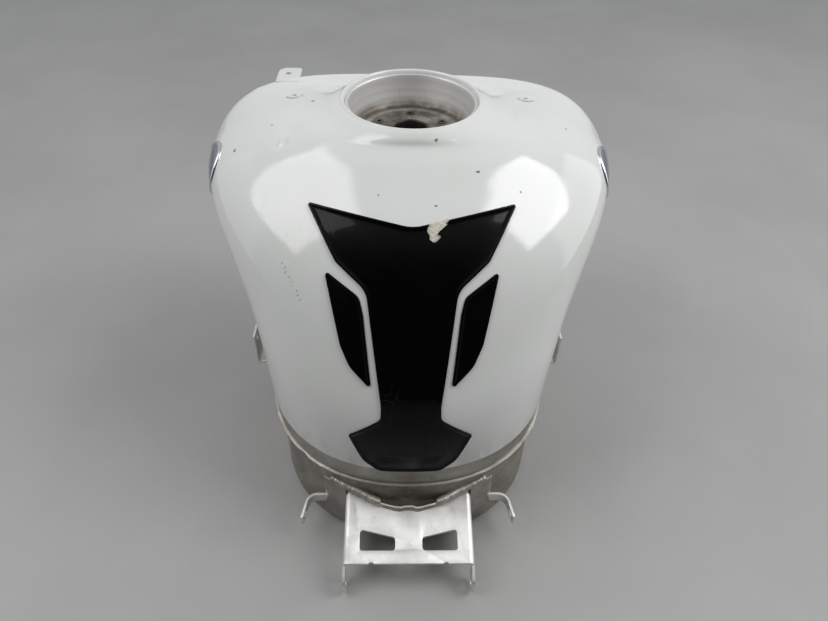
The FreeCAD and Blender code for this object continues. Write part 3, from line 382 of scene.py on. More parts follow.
def rear_wall(x, z):
    """y of the pan's rear wall at a place across and a height."""
    centre, half, _, _, power, _ = RINGS[0, :6]
    reach = PAN_FOOT_REACH - PAN_DRAFT * z
    return centre - reach * (1 - np.abs(x / (half - PAN_INSET)) ** power) ** (1 / power)


# ---- Cutters ----

TUNNEL_REAR = (-116.0, 100.0, 250.0)   # y, half width, top
TUNNEL_FRONT = (140.0, 66.0, 262.0)
RECESS = (58.0, -226.0, 36.0, 24.0)    # half width, rear y, top, corner radius
DEEP = -60.0


def tunnel_cutter():
    """The space over the frame, grown by the sheet's thickness."""
    rows = []
    for y, half, top in (TUNNEL_REAR, TUNNEL_FRONT):
        half += WALL
        top += WALL
        y = y - WALL if y == TUNNEL_REAR[0] else y
        turns = np.linspace(0, math.pi, 49)
        x = np.concatenate([half * np.cos(turns), [-half, half]])
        z = np.concatenate([top - half + half * np.sin(turns), [DEEP, DEEP]])
        rows.append(np.stack([x, np.full(len(x), y), z], axis=-1))
    return lofted("tunnel_cutter", rows)


def recess_cutter():
    half, rear, top, corner = RECESS
    half += WALL
    rear -= WALL
    corner += WALL
    outline = rounded([(-half, rear, corner), (half, rear, corner),
                       (half, TUNNEL_REAR[0], 1), (-half, TUNNEL_REAR[0], 1)], 12)
    return prism("recess_cutter", outline, DEEP, top + WALL, seen_from_above)


# ---- Upper shell ----

SHOULDER_DENT = (-114.0, -44.0, 365.0, 17.0, 1.6)   # x, y, z, radius, depth
SMALL_DENTS = [
    SHOULDER_DENT,
    (-165.0, 73.0, 355.0, 8.0, -0.6),
    (-62.0, -196.0, 262.0, 16.0, 0.15),
    (118.0, 8.0, 362.0, 22.0, 0.18),
]
CRESCENT = (-121.3, -56.8, 4.6, 2.0, 1.6)           # x, y, radius, half width, depth
INSERT_PLACE = (8.35, math.radians(16.7))           # ring, angle
DISH_R = 10.5
DISH_DEPTH = 0.7
DISH_EDGE = 2.2
SEAT_R = 8.1


def bell(distance, radius):
    return np.exp(-(distance / radius) ** 2 * 2.0)


def skin_sink(points, ring):
    """How far dents, the paint's lower edge and the dishes sink the skin, in millimetres."""
    sink = np.zeros(points.shape[:-1])
    for x, y, z, radius, depth in SMALL_DENTS:
        sink += depth * bell(np.linalg.norm(points - (x, y, z), axis=-1), radius)
    x, y, radius, half, depth = CRESCENT
    from_middle = points[..., :2] - (x, y)
    across = np.hypot(from_middle[..., 0], from_middle[..., 1] + radius * 0.6) - radius
    lower_side = np.clip((y + 1.5 - points[..., 1]) / 2.0, 0, 1) * (points[..., 2] > 300)
    near = np.hypot(from_middle[..., 0], from_middle[..., 1]) < radius * 2.2
    sink += depth * bell(across, half) * np.where(near, 1.0, 0.0) * (1.0 - 0.9 * (1 - lower_side))
    middle = skin_points(*map(np.array, INSERT_PLACE))
    for side in (-1, 1):
        far = np.linalg.norm(points - middle * (side, 1, 1), axis=-1)
        sink += DISH_DEPTH * ease((DISH_R - far) / DISH_EDGE)
    below = np.where(ring < 1, (ring - 1) * BAND_HEIGHT, (ring - 1) * 140.0)
    sink += 1.5 * np.exp(-(below / 2.4) ** 2) + 0.5 * np.exp(-((below + 6.0) / 6.0) ** 2)
    return sink


def row_places(step):
    """Ring numbers for the rows of a mesh, spaced evenly down the rear of the skin."""
    fine = np.linspace(0, LAST_RING, 2001)
    rear = skin_points(fine, np.full(fine.shape, -math.pi / 2))
    side = skin_points(fine, np.zeros(fine.shape))
    length = sum(np.linalg.norm(np.diff(line, axis=0), axis=1) for line in (rear, side)) / 2
    travelled = np.concatenate([[0], np.cumsum(length)])
    count = int(travelled[-1] / step)
    return np.interp(np.linspace(0, travelled[-1], count + 1), travelled, fine)


# Painted roll round the filler: radius and height above the skin's top edge
MOUTH_ROLL = [(69.5, -0.75), (69.1, -0.36), (68.6, -0.12), (68.0, -0.02), (67.4, -0.08), (66.8, -0.4),
              (66.3, -0.95), (65.85, -1.7), (65.55, -2.7), (65.4, -4.2)]


def skin_rows(step, offset, angles):
    places = row_places(step)
    ring, angle = np.meshgrid(places, angles, indexing="ij")
    points = skin_points(ring, angle)
    normals = skin_normals(ring, angle)
    if offset:
        moved = points + normals * offset
        moved[0] = points[0] + normals[0] * (1, 1, 0) * offset
        moved[-1] = points[-1] + UP * offset
        return places, moved
    sink = skin_sink(points, ring)
    sink += 0.75 * np.clip((ring - 9.62) / 0.38, 0, 1) ** 2
    return places, points - normals * sink[..., None]


def make_upper_shell():
    """The whole skin as one closed sheet: outside, roll round the filler, inside and lower edge."""
    angles = full_turn(COLUMNS) - math.pi / 2
    places, outside = skin_rows(ROW_STEP, 0.0, angles)
    roll = []
    for radius, height in MOUTH_ROLL:
        level = np.full(COLUMNS, SKIN_TOP_Z + height)
        roll.append(np.stack([radius * np.cos(angles), radius * np.sin(angles), level], -1))
    inside = skin_rows(INNER_ROW_STEP, -WALL, angles)[1][::-1]
    inside = inside[1:]
    rows = np.concatenate([outside[:-1], np.array(roll), inside])
    count = len(rows)
    piece = new_piece("shell_skin", rows.reshape(-1, 3), grid_faces(count, COLUMNS, close_rows=True), 35.0)
    row_of_face = np.repeat(np.arange(count), COLUMNS)
    painted = (row_of_face >= np.searchsorted(places, 1.0)) & (row_of_face < len(outside) + len(roll) - 1)
    piece.data.polygons.foreach_set("material_index", np.where(painted, 0, 1).astype(np.int32))
    return piece


def cut_shell(shell):
    """The frame's mouth at the front, and seats for the two threaded inserts."""
    boolean(shell, tunnel_cutter())
    ring, angle = map(np.array, INSERT_PLACE)
    middle = skin_points(ring, angle)
    axis = skin_normals(ring, angle)
    for side in (-1, 1):
        place = middle * (side, 1, 1)
        direction = axis * (side, 1, 1)
        boolean(shell, cylinder("seat", SEAT_R, place - direction * 8, place + direction * 8))
    smooth(shell, 35.0)


def cylinder(name, radius, start, end, count=40):
    start = np.asarray(start, float)
    axis = np.asarray(end, float) - start
    length = np.linalg.norm(axis)
    axis /= length
    helper = RIGHT if abs(axis[0]) < 0.8 else UP
    across = unit(np.cross(helper, axis))
    other = np.cross(axis, across)
    circle = arc(radius, count)
    ring = start + circle[:, :1] * across + circle[:, 1:] * other
    return lofted(name, [ring, ring + axis * length])


# ---- Draping flat outlines over the skin ----

TANK_MIDDLE = np.array([0.0, 0.0, 200.0])


DRAPE_COLUMNS = 720
DRAPE_ROW_STEP = 1.6


class Skin:
    """The finished skin, to lay pads, badges and marks on."""

    def __init__(self):
        turns = full_turn(DRAPE_COLUMNS) - math.pi / 2
        places, rows = skin_rows(DRAPE_ROW_STEP, 0.0, turns)
        ring, angle = np.meshgrid(places, turns, indexing="ij")
        self.points = rows.reshape(-1, 3)
        self.normals = skin_normals(ring, angle).reshape(-1, 3)
        self.faces = grid_faces(len(places), DRAPE_COLUMNS).tolist()
        self.tree = BVHTree.FromPolygons(self.points.tolist(), self.faces)

    def land(self, origin, direction):
        """Where a ray meets the skin, with the smooth outward direction there."""
        place, _, number, _ = self.tree.ray_cast(Vector(origin), Vector(direction))
        corners = self.faces[number]
        weights = poly_3d_calc([Vector(self.points[corner]) for corner in corners], place)
        normal = sum(weight * self.normals[corner] for weight, corner in zip(weights, corners))
        return np.array(place), unit(normal)

    def drape(self, flat, heights, origin, across, along, reach=60.0):
        """Lays points of a plane on the skin, each at its own height above it."""
        facing = np.cross(across, along)
        if facing @ (origin - TANK_MIDDLE) < 0:
            facing = -facing
        laid = []
        for (u, v), height in zip(flat, heights):
            start = origin + across * u + along * v + facing * reach
            place, normal = self.land(start, -facing)
            laid.append(place + normal * height)
        return np.array(laid)


def filled(contour, spacing):
    """Triangles that fill a closed contour, with a grid of points inside it."""
    low, high = contour.min(axis=0), contour.max(axis=0)
    xs = np.arange(low[0] + spacing / 2, high[0], spacing)
    ys = np.arange(low[1] + spacing / 2, high[1], spacing * 0.866)
    inner = []
    for number, y in enumerate(ys):
        for x in xs + (spacing / 2 if number % 2 else 0.0):
            inner.append((x, y))
    inner = np.array(inner)
    keep = inside(inner, contour) & (distance_to(inner, contour) > spacing * 0.5)
    points = np.concatenate([contour, inner[keep]])
    count = len(contour)
    edges = [(i, (i + 1) % count) for i in range(count)]
    found = delaunay_2d_cdt([Vector(point) for point in points], edges, [list(range(count))], 1, 1e-6)
    order = [origins[0] for origins in found[3]]
    triangles = [[order[corner] for corner in face] for face in found[2]]
    return points, triangles


def distance_to(points, contour):
    """Distance from each point to a closed line."""
    start = contour
    step = np.roll(contour, -1, axis=0) - contour
    length = np.maximum((step ** 2).sum(axis=1), 1e-12)
    offset = points[:, None] - start[None]
    share = np.clip((offset * step).sum(axis=2) / length, 0, 1)
    return np.sqrt(((offset - share[..., None] * step) ** 2).sum(axis=2)).min(axis=1)


def inside(points, contour):
    start = contour
    end = np.roll(contour, -1, axis=0)
    x, y = points[:, 0, None], points[:, 1, None]
    straddles = (start[:, 1] > y) != (end[:, 1] > y)
    rise = np.where(end[:, 1] == start[:, 1], 1e-12, end[:, 1] - start[:, 1])
    crossing = start[:, 0] + (y - start[:, 1]) * (end[:, 0] - start[:, 0]) / rise
    return (np.sum(straddles & (x < crossing), axis=1) % 2) == 1


# ---- Tank pads ----

PAD_ORIGIN = np.array([0.0, -143.0, 327.0])
PAD_TILT = math.radians(63.2)
PAD_DOWN = np.array([0.0, -math.cos(PAD_TILT), -math.sin(PAD_TILT)])
CENTRE_PAD = [
    (0, 3.4, 40), (93.5, -16.5, 2), (67, 32, 14), (40, 56, 22), (27, 160, 60), (27.5, 174, 8),
    (57.5, 194.5, 2), (45, 228, 30), (30, 243, 12),
]
SIDE_PAD = [(76.5, 39, 2), (46, 61, 12), (42.5, 76, 14), (35.5, 144, 2), (55, 123, 25), (63, 104, 20)]
# a raised rim round a shallow field: distance from the edge, height
PAD_PROFILE = [(0.0, -0.2), (0.0, 0.9), (0.18, 1.45), (0.5, 1.78), (0.9, 1.86), (1.5, 1.84), (2.1, 1.62),
               (3.0, 1.12), (4.0, 0.86), (5.2, 0.78)]
PAD_FIELD = 0.8
PAD_DOME = 0.35
PAD_DOME_RUN = 22.0
PAD_ARC = 9                        # points on each rounded corner
PAD_STEP = 3.0                     # longest side of a pad's outline
PAD_GRID = 4.5
PAD_BACK_GRID = 9.0


def mirrored_outline(half):
    return half + [(-x, y, radius) for x, y, radius in reversed(half[1:])]


def make_pad(name, corners, skin):
    """A resin pad that follows the skin, with a raised rim and a slightly domed field."""
    contours = []
    heights = []
    parts = parts_needed(rounded(corners, PAD_ARC), PAD_STEP)
    for distance, height in PAD_PROFILE:
        contour = subdivided(rounded(inset(corners, distance) if distance else corners, PAD_ARC), parts)
        contours.append(contour)
        heights.append(np.full(len(contour), height))
    count = len(contours[0])
    points, triangles = filled(contours[-1], PAD_GRID)
    depth = distance_to(points, contours[0])
    fill_heights = PAD_FIELD + PAD_DOME * (1 - np.exp(-(depth - PAD_PROFILE[-1][0]) / PAD_DOME_RUN))
    fill_heights[:count] = PAD_PROFILE[-1][1]
    flat = np.concatenate(contours[:-1] + [points])
    tall = np.concatenate(heights[:-1] + [fill_heights])
    laid = skin.drape(flat, tall, PAD_ORIGIN, RIGHT, PAD_DOWN)
    faces = grid_faces(len(contours), count).tolist()
    base = (len(contours) - 1) * count
    faces += [[base + corner for corner in triangle] for triangle in triangles]
    back_points, back_triangles = filled(contours[0], PAD_BACK_GRID)
    inner = back_points[count:]
    back = skin.drape(inner, np.full(len(inner), PAD_PROFILE[0][1]), PAD_ORIGIN, RIGHT, PAD_DOWN)
    start = len(laid)
    relabel = list(range(count)) + [start + i for i in range(len(back))]
    faces += [[relabel[corner] for corner in triangle] for triangle in back_triangles]
    return new_piece(name, np.concatenate([laid, back]), faces, 50.0)


# ---- Seam lip and pan ----

LIP_PROFILE = [(-7.0, -0.05), (2.2, -0.1), (2.75, -0.2), (3.0, -0.55), (2.85, -0.95), (2.3, -1.15),
               (1.6, -1.3), (1.5, -1.8), (1.3, -2.2), (0.9, -2.4), (-7.0, -2.4)]


def make_seam_lip():
    """Two sheets welded edge to edge all round the seam, a little wavy as a real flange is."""
    count = 900
    angles = full_turn(count)
    wave = fine_noise(angles, (7, 13, 22, 37, 61), 4)
    knock = np.exp(-((angles - math.radians(222)) / 0.035) ** 2)
    rows = []
    for reach, height in LIP_PROFILE:
        loose = np.clip((reach + 2.0) / 5.0, 0, 1)
        x, y = seam_outline(0.0, angles)
        direction = unit(np.stack([x, y - RINGS[0, 0]], axis=-1))
        out = reach + loose * (0.22 * wave - 0.22 - 1.6 * knock)
        x = x + direction[:, 0] * out
        y = y + direction[:, 1] * out
        z = seam_height(y) + height + loose * (0.35 * fine_noise(angles, (5, 11, 19, 33), 9) - 0.9 * knock)
        rows.append(np.stack([x, y, z], axis=-1))
    rows = np.array(rows)
    piece = new_piece("flange_lip", rows.reshape(-1, 3), grid_faces(len(rows), count, close_rows=True), 60.0)
    boolean(piece, tunnel_cutter())
    smooth(piece, 60.0)
    return piece


PAN_PRESS = (-2.0, 60.0, 10.0, 4.5)      # x, z, radius, depth of the pressing above the joggle


def pan_rows(inset_by, floor, edge, angles, lower_by):
    """Rows from the middle of the floor out to the wall and up to the seam."""
    rows = []
    for share in (0.04, 0.3, 0.55, 0.75, 0.9):
        x, y = pan_outline(inset_by + edge, floor, angles)
        middle = RINGS[0, 0]
        rows.append(np.stack([x * share, middle + (y - middle) * share, np.full(len(x), floor)], axis=-1))
    for turn in np.linspace(0, math.pi / 2, 9):
        z = np.full(len(x), floor + edge * (1 - math.cos(turn)))
        x, y = pan_outline(inset_by + edge * (1 - math.sin(turn)), z, angles)
        rows.append(np.stack([x, y, z], axis=-1))
    top = seam_height(y) - lower_by
    base = floor + edge
    for share in np.linspace(0, 1, 27)[1:]:
        z = base + (top - base) * share
        x, y = pan_outline(inset_by, z, angles)
        rows.append(np.stack([x, y, z], axis=-1))
    return np.array(rows)


def make_pan():
    """The bare base of the tank, pressed from sheet, with the tunnel and the pump's recess cut out."""
    count = 420
    angles = full_turn(count)
    outside = pan_rows(0.0, 0.0, PAN_EDGE_R, angles, LIP_THICK * 1.02)
    normal = np.stack([np.cos(angles), np.sin(angles), np.zeros(count)], -1)
    x_press, z_press, radius, depth = PAN_PRESS
    rear = np.sin(angles) < 0
    for row in outside[14:]:
        far = np.hypot(row[:, 0] - x_press, (row[:, 2] - z_press) * 1.3)
        dent = depth * bell(far, radius) * rear
        height = np.clip((row[:, 2] - 12) / 20, 0, 1)
        sway = 0.45 * height * fine_noise(angles + row[:, 2] * 0.01, (6, 11, 17), 21)
        row -= normal * (dent + np.maximum(sway, -0.2))[:, None]
    interior = pan_rows(WALL, WALL, PAN_EDGE_R - WALL, angles, LIP_THICK * 1.02)[::-1]
    rows = np.concatenate([outside, interior])
    piece = new_piece("pan_sheet", rows.reshape(-1, 3), grid_faces(len(rows), count, close_rows=True), 40.0)
    boolean(piece, tunnel_cutter())
    boolean(piece, recess_cutter())
    smooth(piece, 40.0)
    return piece


def pan_form(extra=0.0):
    """The pan's outside as a plain solid, to trim what stands against it."""
    return upright_form("pan_form", extra, -20.0, 130.0, 240)


def upright_form(name, extra, low, high, count):
    """The pan's outline, moved outwards, as a solid between two heights."""
    angles = full_turn(count)
    rows = []
    for z in (low, high):
        x, y = pan_outline(-extra, z, angles)
        rows.append(np.stack([x, y, np.full(count, z)], axis=-1))
    return lofted(name, rows)


# ---- Filler ----

CUP_PROFILE = [
    (17.6, 343.0), (30.0, 342.95), (53.5, 343.0), (55.2, 343.2), (56.6, 343.9), (57.4, 345.0), (57.9, 346.6),
    (62.0, 371.6), (62.15, 372.8), (62.35, 373.6), (62.7, 374.1), (63.25, 374.35), (63.9, 374.3),
    (64.6, 374.2), (65.2, 374.3), (65.3, 373.6), (65.3, 371.9), (65.1, 370.9), (64.0, 369.4),
    (63.0, 366.0), (59.3, 346.0),
    (58.4, 343.4), (56.9, 341.9), (54.0, 341.5), (17.6, 341.5),
]
NECK_PROFILE = [
    (15.5, 325.0), (15.5, 344.4), (15.8, 345.3), (16.3, 346.0), (16.9, 346.4), (17.5, 346.2), (18.0, 345.5),
    (17.95, 344.8), (17.65, 344.2), (17.5, 343.2), (17.5, 325.0),
]
CAP_PITCH_R = 37.5
CAP_SCREWS = 6
INSERT_R = 3.5
DRAIN_XY = (-30.0, -38.0)
PIPE_R = 4.0


def lathe(name, profile, count):
    """A closed profile (radius, height) turned about the filler axis."""
    turns = full_turn(count)
    rows = []
    for radius, height in profile:
        rows.append(np.stack([radius * np.cos(turns), radius * np.sin(turns), np.full(count, height)], -1))
    return new_piece(name, np.concatenate(rows), grid_faces(len(rows), count, close_rows=True), 30.0)


def make_cup():
    cup = lathe("spun_cup", CUP_PROFILE, 200)
    for number in range(CAP_SCREWS):
        turn = math.pi / 2 + 2 * math.pi * number / CAP_SCREWS
        x, y = CAP_PITCH_R * math.cos(turn), CAP_PITCH_R * math.sin(turn)
        boolean(cup, cylinder("hole", INSERT_R, (x, y, 330.0), (x, y, 352.0), 28))
    boolean(cup, cylinder("hole", PIPE_R, (*DRAIN_XY, 330.0), (*DRAIN_XY, 355.0), 28))
    smooth(cup, 30.0)
    return cup


# ---- Badges ----

BADGE_PLACE = (5.35, math.radians(-4.5))
BEZEL_PROFILE = [(24.2, -0.1), (24.3, 0.8), (24.6, 1.5), (25.2, 1.85), (26.2, 1.9), (27.2, 1.6), (27.8, 1.0),
                 (28.0, -0.1)]
FACE_PROFILE = [(24.2, -0.1), (24.15, 0.9), (23.4, 1.15), (20.0, 1.35), (15.0, 1.5), (9.0, 1.6), (4.0, 1.65),
                (0.4, 1.66)]


def badge_frame(side):
    """Middle of a badge and two directions along the flank."""
    ring, angle = map(np.array, BADGE_PLACE)
    middle = skin_points(ring, angle) * (side, 1, 1)
    out = skin_normals(ring, angle) * (side, 1, 1)
    across = unit(np.cross(UP, out))
    return middle, across, np.cross(out, across)


def make_badge(side, profile, name, closed, skin):
    count = 72
    middle, across, along = badge_frame(side)
    flat = np.concatenate([arc(radius, count) for radius, _ in profile])
    heights = np.repeat([height for _, height in profile], count)
    laid = skin.drape(flat, heights, middle, across, along, 25.0)
    rows = laid.reshape(len(profile), count, 3)
    if closed:
        return new_piece(name, laid, grid_faces(len(profile), count, close_rows=True), 50.0)
    return lofted(name, rows, 50.0)


# ---- Rear bracket and its plates ----

DECK_HALF = 65.0
DECK_THICK = 2.5
DECK_FOLD_R = 5.0
DECK_REAR = (-306.0, 39.0)
DECK_SLOPE = 0.226
DECK_FRONT_Y = -225.0
EAR_HOLE = (-312.0, 12.0)
EAR_HOLE_R = 4.5
EAR_R = 9.5
WINDOW = [(49, -273.5, 3), (49, -294, 3), (13.5, -294, 3), (13.5, -281.5, 3)]
NOTCH_X = 37
NOTCH = [(-3, -306.5, 0.4), (3, -306.5, 0.4), (1.8, -304.7, 0.6), (-1.8, -304.7, 0.6)]
WING_X = 88.0
WING_Z = (14.0, 64.0)


def deck_z(y):
    return DECK_REAR[1] + DECK_SLOPE * (y - DECK_REAR[0])


def channel_section(half, top, fold, bottom):
    return rounded([(-half, top, fold), (half, top, fold), (half, bottom, 1), (-half, bottom, 1)], 10)


def make_bracket():
    """A folded channel with two windows, side flanges and ears, its edges eased."""
    outer = channel_section(DECK_HALF, 0.0, DECK_FOLD_R, -70.0)
    space = channel_section(DECK_HALF - DECK_THICK, -DECK_THICK, DECK_FOLD_R - DECK_THICK, -80.0)
    cosine = 1 / math.hypot(1, DECK_SLOPE)
    sine = DECK_SLOPE * cosine

    def along_deck(u, v, w):
        """u across, v square to the deck, w along it from its front end to the rear."""
        y = DECK_FRONT_Y - w * cosine - v * sine
        z = deck_z(DECK_FRONT_Y) - w * sine + v * cosine
        return np.stack([u, y, z], axis=-1)

    piece = prism("bracket_sheet", outer, 0.0, 110.0, along_deck)
    boolean(piece, prism("space", space, -5.0, 115.0, along_deck))
    ear_y, ear_z = EAR_HOLE
    outline = rounded([(-228, deck_z(-228) + 8, 1), (DECK_REAR[0], DECK_REAR[1] + 8, 1),
                       (DECK_REAR[0], DECK_REAR[1] - 3.5, 1), (ear_y - EAR_R, 26, 6),
                       (ear_y - EAR_R, ear_z - EAR_R, EAR_R - 0.2),
                       (ear_y + EAR_R, ear_z - EAR_R, EAR_R - 0.2), (ear_y + EAR_R + 1, 27, 6),
                       (-228, 24, 1)], 12)
    boolean(piece, prism("side", outline, -90.0, 90.0, seen_from_side), "INTERSECT")
    hole = arc(EAR_HOLE_R, 40, EAR_HOLE)
    boolean(piece, prism("hole", hole, -90.0, 90.0, seen_from_side))
    for side in (-1, 1):
        window = [(x * side, y, radius) for x, y, radius in WINDOW][::side]
        boolean(piece, prism("window", rounded(window, 6), 0.0, 70.0, seen_from_above))
        notch = rounded([(side * NOTCH_X + x, y, radius) for x, y, radius in NOTCH], 4)
        boolean(piece, prism("notch", notch, 30.0, 60.0, seen_from_above))
    boolean(piece, pan_form())
    return bevel(piece, 0.45)


def make_wing(side):
    """A plate that lies against the rear of the pan's wall, beside the bracket."""
    low, high = WING_Z
    piece = upright_form("wing", DECK_THICK, low, high, 720)
    left, right = sorted((side * DECK_HALF, side * WING_X))
    limits = [(left, -300.0), (right, -300.0), (right, -150.0), (left, -150.0)]
    boolean(piece, prism("limits", limits, low - 10, high + 10, seen_from_above), "INTERSECT")
    boolean(piece, pan_form())
    return bevel(piece, 0.4)


STRAP_Z = (28.0, 40.0)
STRAP_BEND = (96.0, -240.0, 11.0)      # centre and radius of the strap's bend
STRAP_SPLAY = math.radians(10.0)
STRAP_LEG = 19.0
STRAP_HALF = 1.25
STRAP_SLOT = [(-253.4, 32.0, 1.9), (-245.4, 32.0, 1.9), (-245.4, 36.0, 1.9), (-253.4, 36.0, 1.9)]


def make_hook(side):
    """A strap on edge: out from the wing, round a bend and back, with a slot near its end."""
    x, y, radius = STRAP_BEND
    middle = [(80.0, y + radius), (90.0, y + radius)]
    for turn in np.linspace(math.pi / 2, STRAP_SPLAY, 14):
        middle.append((x + radius * math.cos(turn), y + radius * math.sin(turn)))
    end = np.array(middle[-1])
    along = np.array([math.sin(STRAP_SPLAY), -math.cos(STRAP_SPLAY)])
    middle += [tuple(end + along * STRAP_LEG * share) for share in (0.35, 0.7, 1.0)]
    middle = np.array(middle)
    step = unit(np.gradient(middle, axis=0))
    square = np.stack([step[:, 1], -step[:, 0]], axis=1)
    outline = np.concatenate([middle + square * STRAP_HALF, (middle - square * STRAP_HALF)[::-1]]) * (side, 1)
    piece = prism("hook", outline, *STRAP_Z, seen_from_above)
    slot_x = sorted((side * 100.0, side * 120.0))
    boolean(piece, prism("slot", rounded(STRAP_SLOT, 6), *slot_x, seen_from_side))
    boolean(piece, pan_form(DECK_THICK))
    return bevel(piece, 0.45)


BEAD_ENDS = ((28.0, 57.0), (81.0, 66.2))    # x and z of a bead's two ends
BEAD_BOW = (55.0, 25.0, 5.5)                # x where the bead leaves the wall, run and reach of its bow
BEAD_RINGS = 210
BEAD_SIDES = 22
BEAD_R = 3.2


def make_weld_bead(side):
    """A hand-laid bead: overlapping ripples, a little uneven, along the pan's wall."""
    (x_start, z_start), (x_end, z_end) = BEAD_ENDS
    share = np.linspace(0, 1, BEAD_RINGS)
    x = x_start + (x_end - x_start) * share
    z = z_start + (z_end - z_start) * share + 0.5 * np.sin(share * 9)
    bow_start, bow_run, bow_reach = BEAD_BOW
    bow = bow_reach * ease((bow_start - x) / bow_run)
    line = np.stack([x, rear_wall(x, z) - bow, z], axis=-1)
    step = unit(np.gradient(line, axis=0))
    out = unit(np.cross(step, UP))
    out *= np.sign((out * (x[:, None] * RIGHT + [0, -200, 0])).sum(axis=1, keepdims=True))
    rise = np.cross(out, step)
    turns = full_turn(BEAD_SIDES)
    ripple = np.abs(np.sin(share * math.pi * 21 + 0.6 * np.sin(share * 17)))
    swell = BEAD_R + 0.18 * ripple + 0.28 * fine_noise(share * 2 * math.pi, (3, 5, 9), 31)
    swell *= np.clip(np.sqrt(np.clip(np.minimum(share, 1 - share) * 26, 0, 1)), 0.15, 1)
    rows = []
    for i in range(BEAD_RINGS):
        circle = np.cos(turns)[:, None] * out[i] * 1.15 + np.sin(turns)[:, None] * rise[i]
        rows.append((line[i] + circle * swell[i] + out[i] * 0.6) * (side, 1, 1))
    return lofted("bead", rows, 60.0)


SHELF_LOW = 52.6
SHELF_TOP = 53.6
CRESCENT_BOW = (73.0, -184.0, 1.6, 6.0)    # radius, centre's y, step of the joggle and its half width


def make_crescent():
    """The bowed lip between deck and pan, stepped back in its middle, and the shelf behind it."""
    x = np.linspace(-37.8, 37.8, 190)
    radius, centre, step, half = CRESCENT_BOW
    inner = 1 / (1 + np.exp((np.abs(x) - half) / 0.8))
    sway = 0.25 * fine_noise(x * 0.16, (1, 2, 3), 8)
    lip = centre - np.sqrt(radius ** 2 - x ** 2) + step * inner + sway
    top = 57.3 + 0.2 * np.sin(x * 0.35) - 1.2 * np.clip((np.abs(x) - 30) / 8, 0, 1) ** 2
    foot = deck_z(lip) - 1.0
    wall = rear_wall(x, 54.0) + 1.5
    section = [(wall, SHELF_LOW), (lip + 3.2, SHELF_LOW), (lip + 2.2, foot), (lip, foot), (lip, top - 0.9),
               (lip + 0.3, top - 0.25), (lip + 0.9, top), (lip + 1.7, top - 0.2), (lip + 2.1, top - 0.9),
               (lip + 2.3, SHELF_TOP), (wall, SHELF_TOP)]
    rows = [np.stack([x, y + 0 * x, z + 0 * x], axis=-1) for y, z in section]
    return lofted("crescent", np.array(rows).transpose(1, 0, 2), 45.0)


# ---- Tabs ----

FRONT_TAB = [(-146, 80, 1), (-121, 80, 1), (-121, 118, 4), (-146, 118, 10)]
FRONT_TAB_Z = (355.0, 357.5)
FRONT_TAB_HOLE = (-135, 103)
FRONT_TAB_HOLE_R = 3.2
# x, z and corner radius of a side tab's bent strip
SIDE_TAB = [(139.0, 100.5, 0.6), (172.5, 100.5, 3.2), (172.5, 142.0, 0.6), (170.0, 142.0, 0.6),
            (170.0, 103.0, 1.0), (139.0, 103.0, 0.6)]
SIDE_TAB_Y = (-96.0, -74.0)
SIDE_TAB_HOLE = (-85, 132)
SIDE_TAB_HOLE_R = 3.0


def make_front_tab():
    piece = prism("tab", rounded(FRONT_TAB), *FRONT_TAB_Z, seen_from_above)
    hole = arc(FRONT_TAB_HOLE_R, 32, FRONT_TAB_HOLE)
    boolean(piece, prism("hole", hole, 340.0, 370.0, seen_from_above))
    return bevel(piece, 0.5, 3)


def make_side_tab(side):
    def across_flank(u, v, w):
        return np.stack([u, w, v], axis=-1)

    piece = prism("tab", rounded(SIDE_TAB, 6) * (side, 1), *SIDE_TAB_Y, across_flank)
    hole = arc(SIDE_TAB_HOLE_R, 32, SIDE_TAB_HOLE)
    boolean(piece, prism("hole", hole, *sorted((side * 160, side * 180)), seen_from_side))
    boolean(piece, pan_form())
    return bevel(piece, 0.4)


# ---- Marks on the paint ----

def make_mark(name, skin, middle, size, seed, thick, stretch, spin=0.0):
    """A small chip: an irregular patch laid on the skin."""
    count = 18
    middle = np.asarray(middle, float)
    facing = nearest_normal(skin, middle)
    across = unit(np.cross(UP if abs(facing[2]) < 0.9 else RIGHT, facing))
    along = np.cross(facing, across)
    turns = full_turn(count)
    radius = size * (1 + 0.35 * fine_noise(turns, (2, 3, 5), seed))
    flat = np.stack([radius * np.cos(turns) * stretch, radius * np.sin(turns)], axis=-1)
    turn = np.array([[math.cos(spin), -math.sin(spin)], [math.sin(spin), math.cos(spin)]])
    flat = flat @ turn.T
    rows = []
    for share, height in ((1.0, -0.05), (1.0, 0.3 * thick), (0.85, thick), (0.3, thick * 0.8)):
        rows.append(skin.drape(flat * share, np.full(count, height), middle, across, along, 12.0))
    return lofted(name, rows, 60.0)


def nearest_normal(skin, place):
    number = np.argmin(((skin.points - place) ** 2).sum(axis=1))
    return skin.normals[number]


def joined(name, pieces):
    """One object from several."""
    first = pieces[0]
    with bpy.context.temp_override(active_object=first, selected_editable_objects=pieces, object=first):
        bpy.ops.object.join()
    first.name = name
    return first


# ---- Materials ----


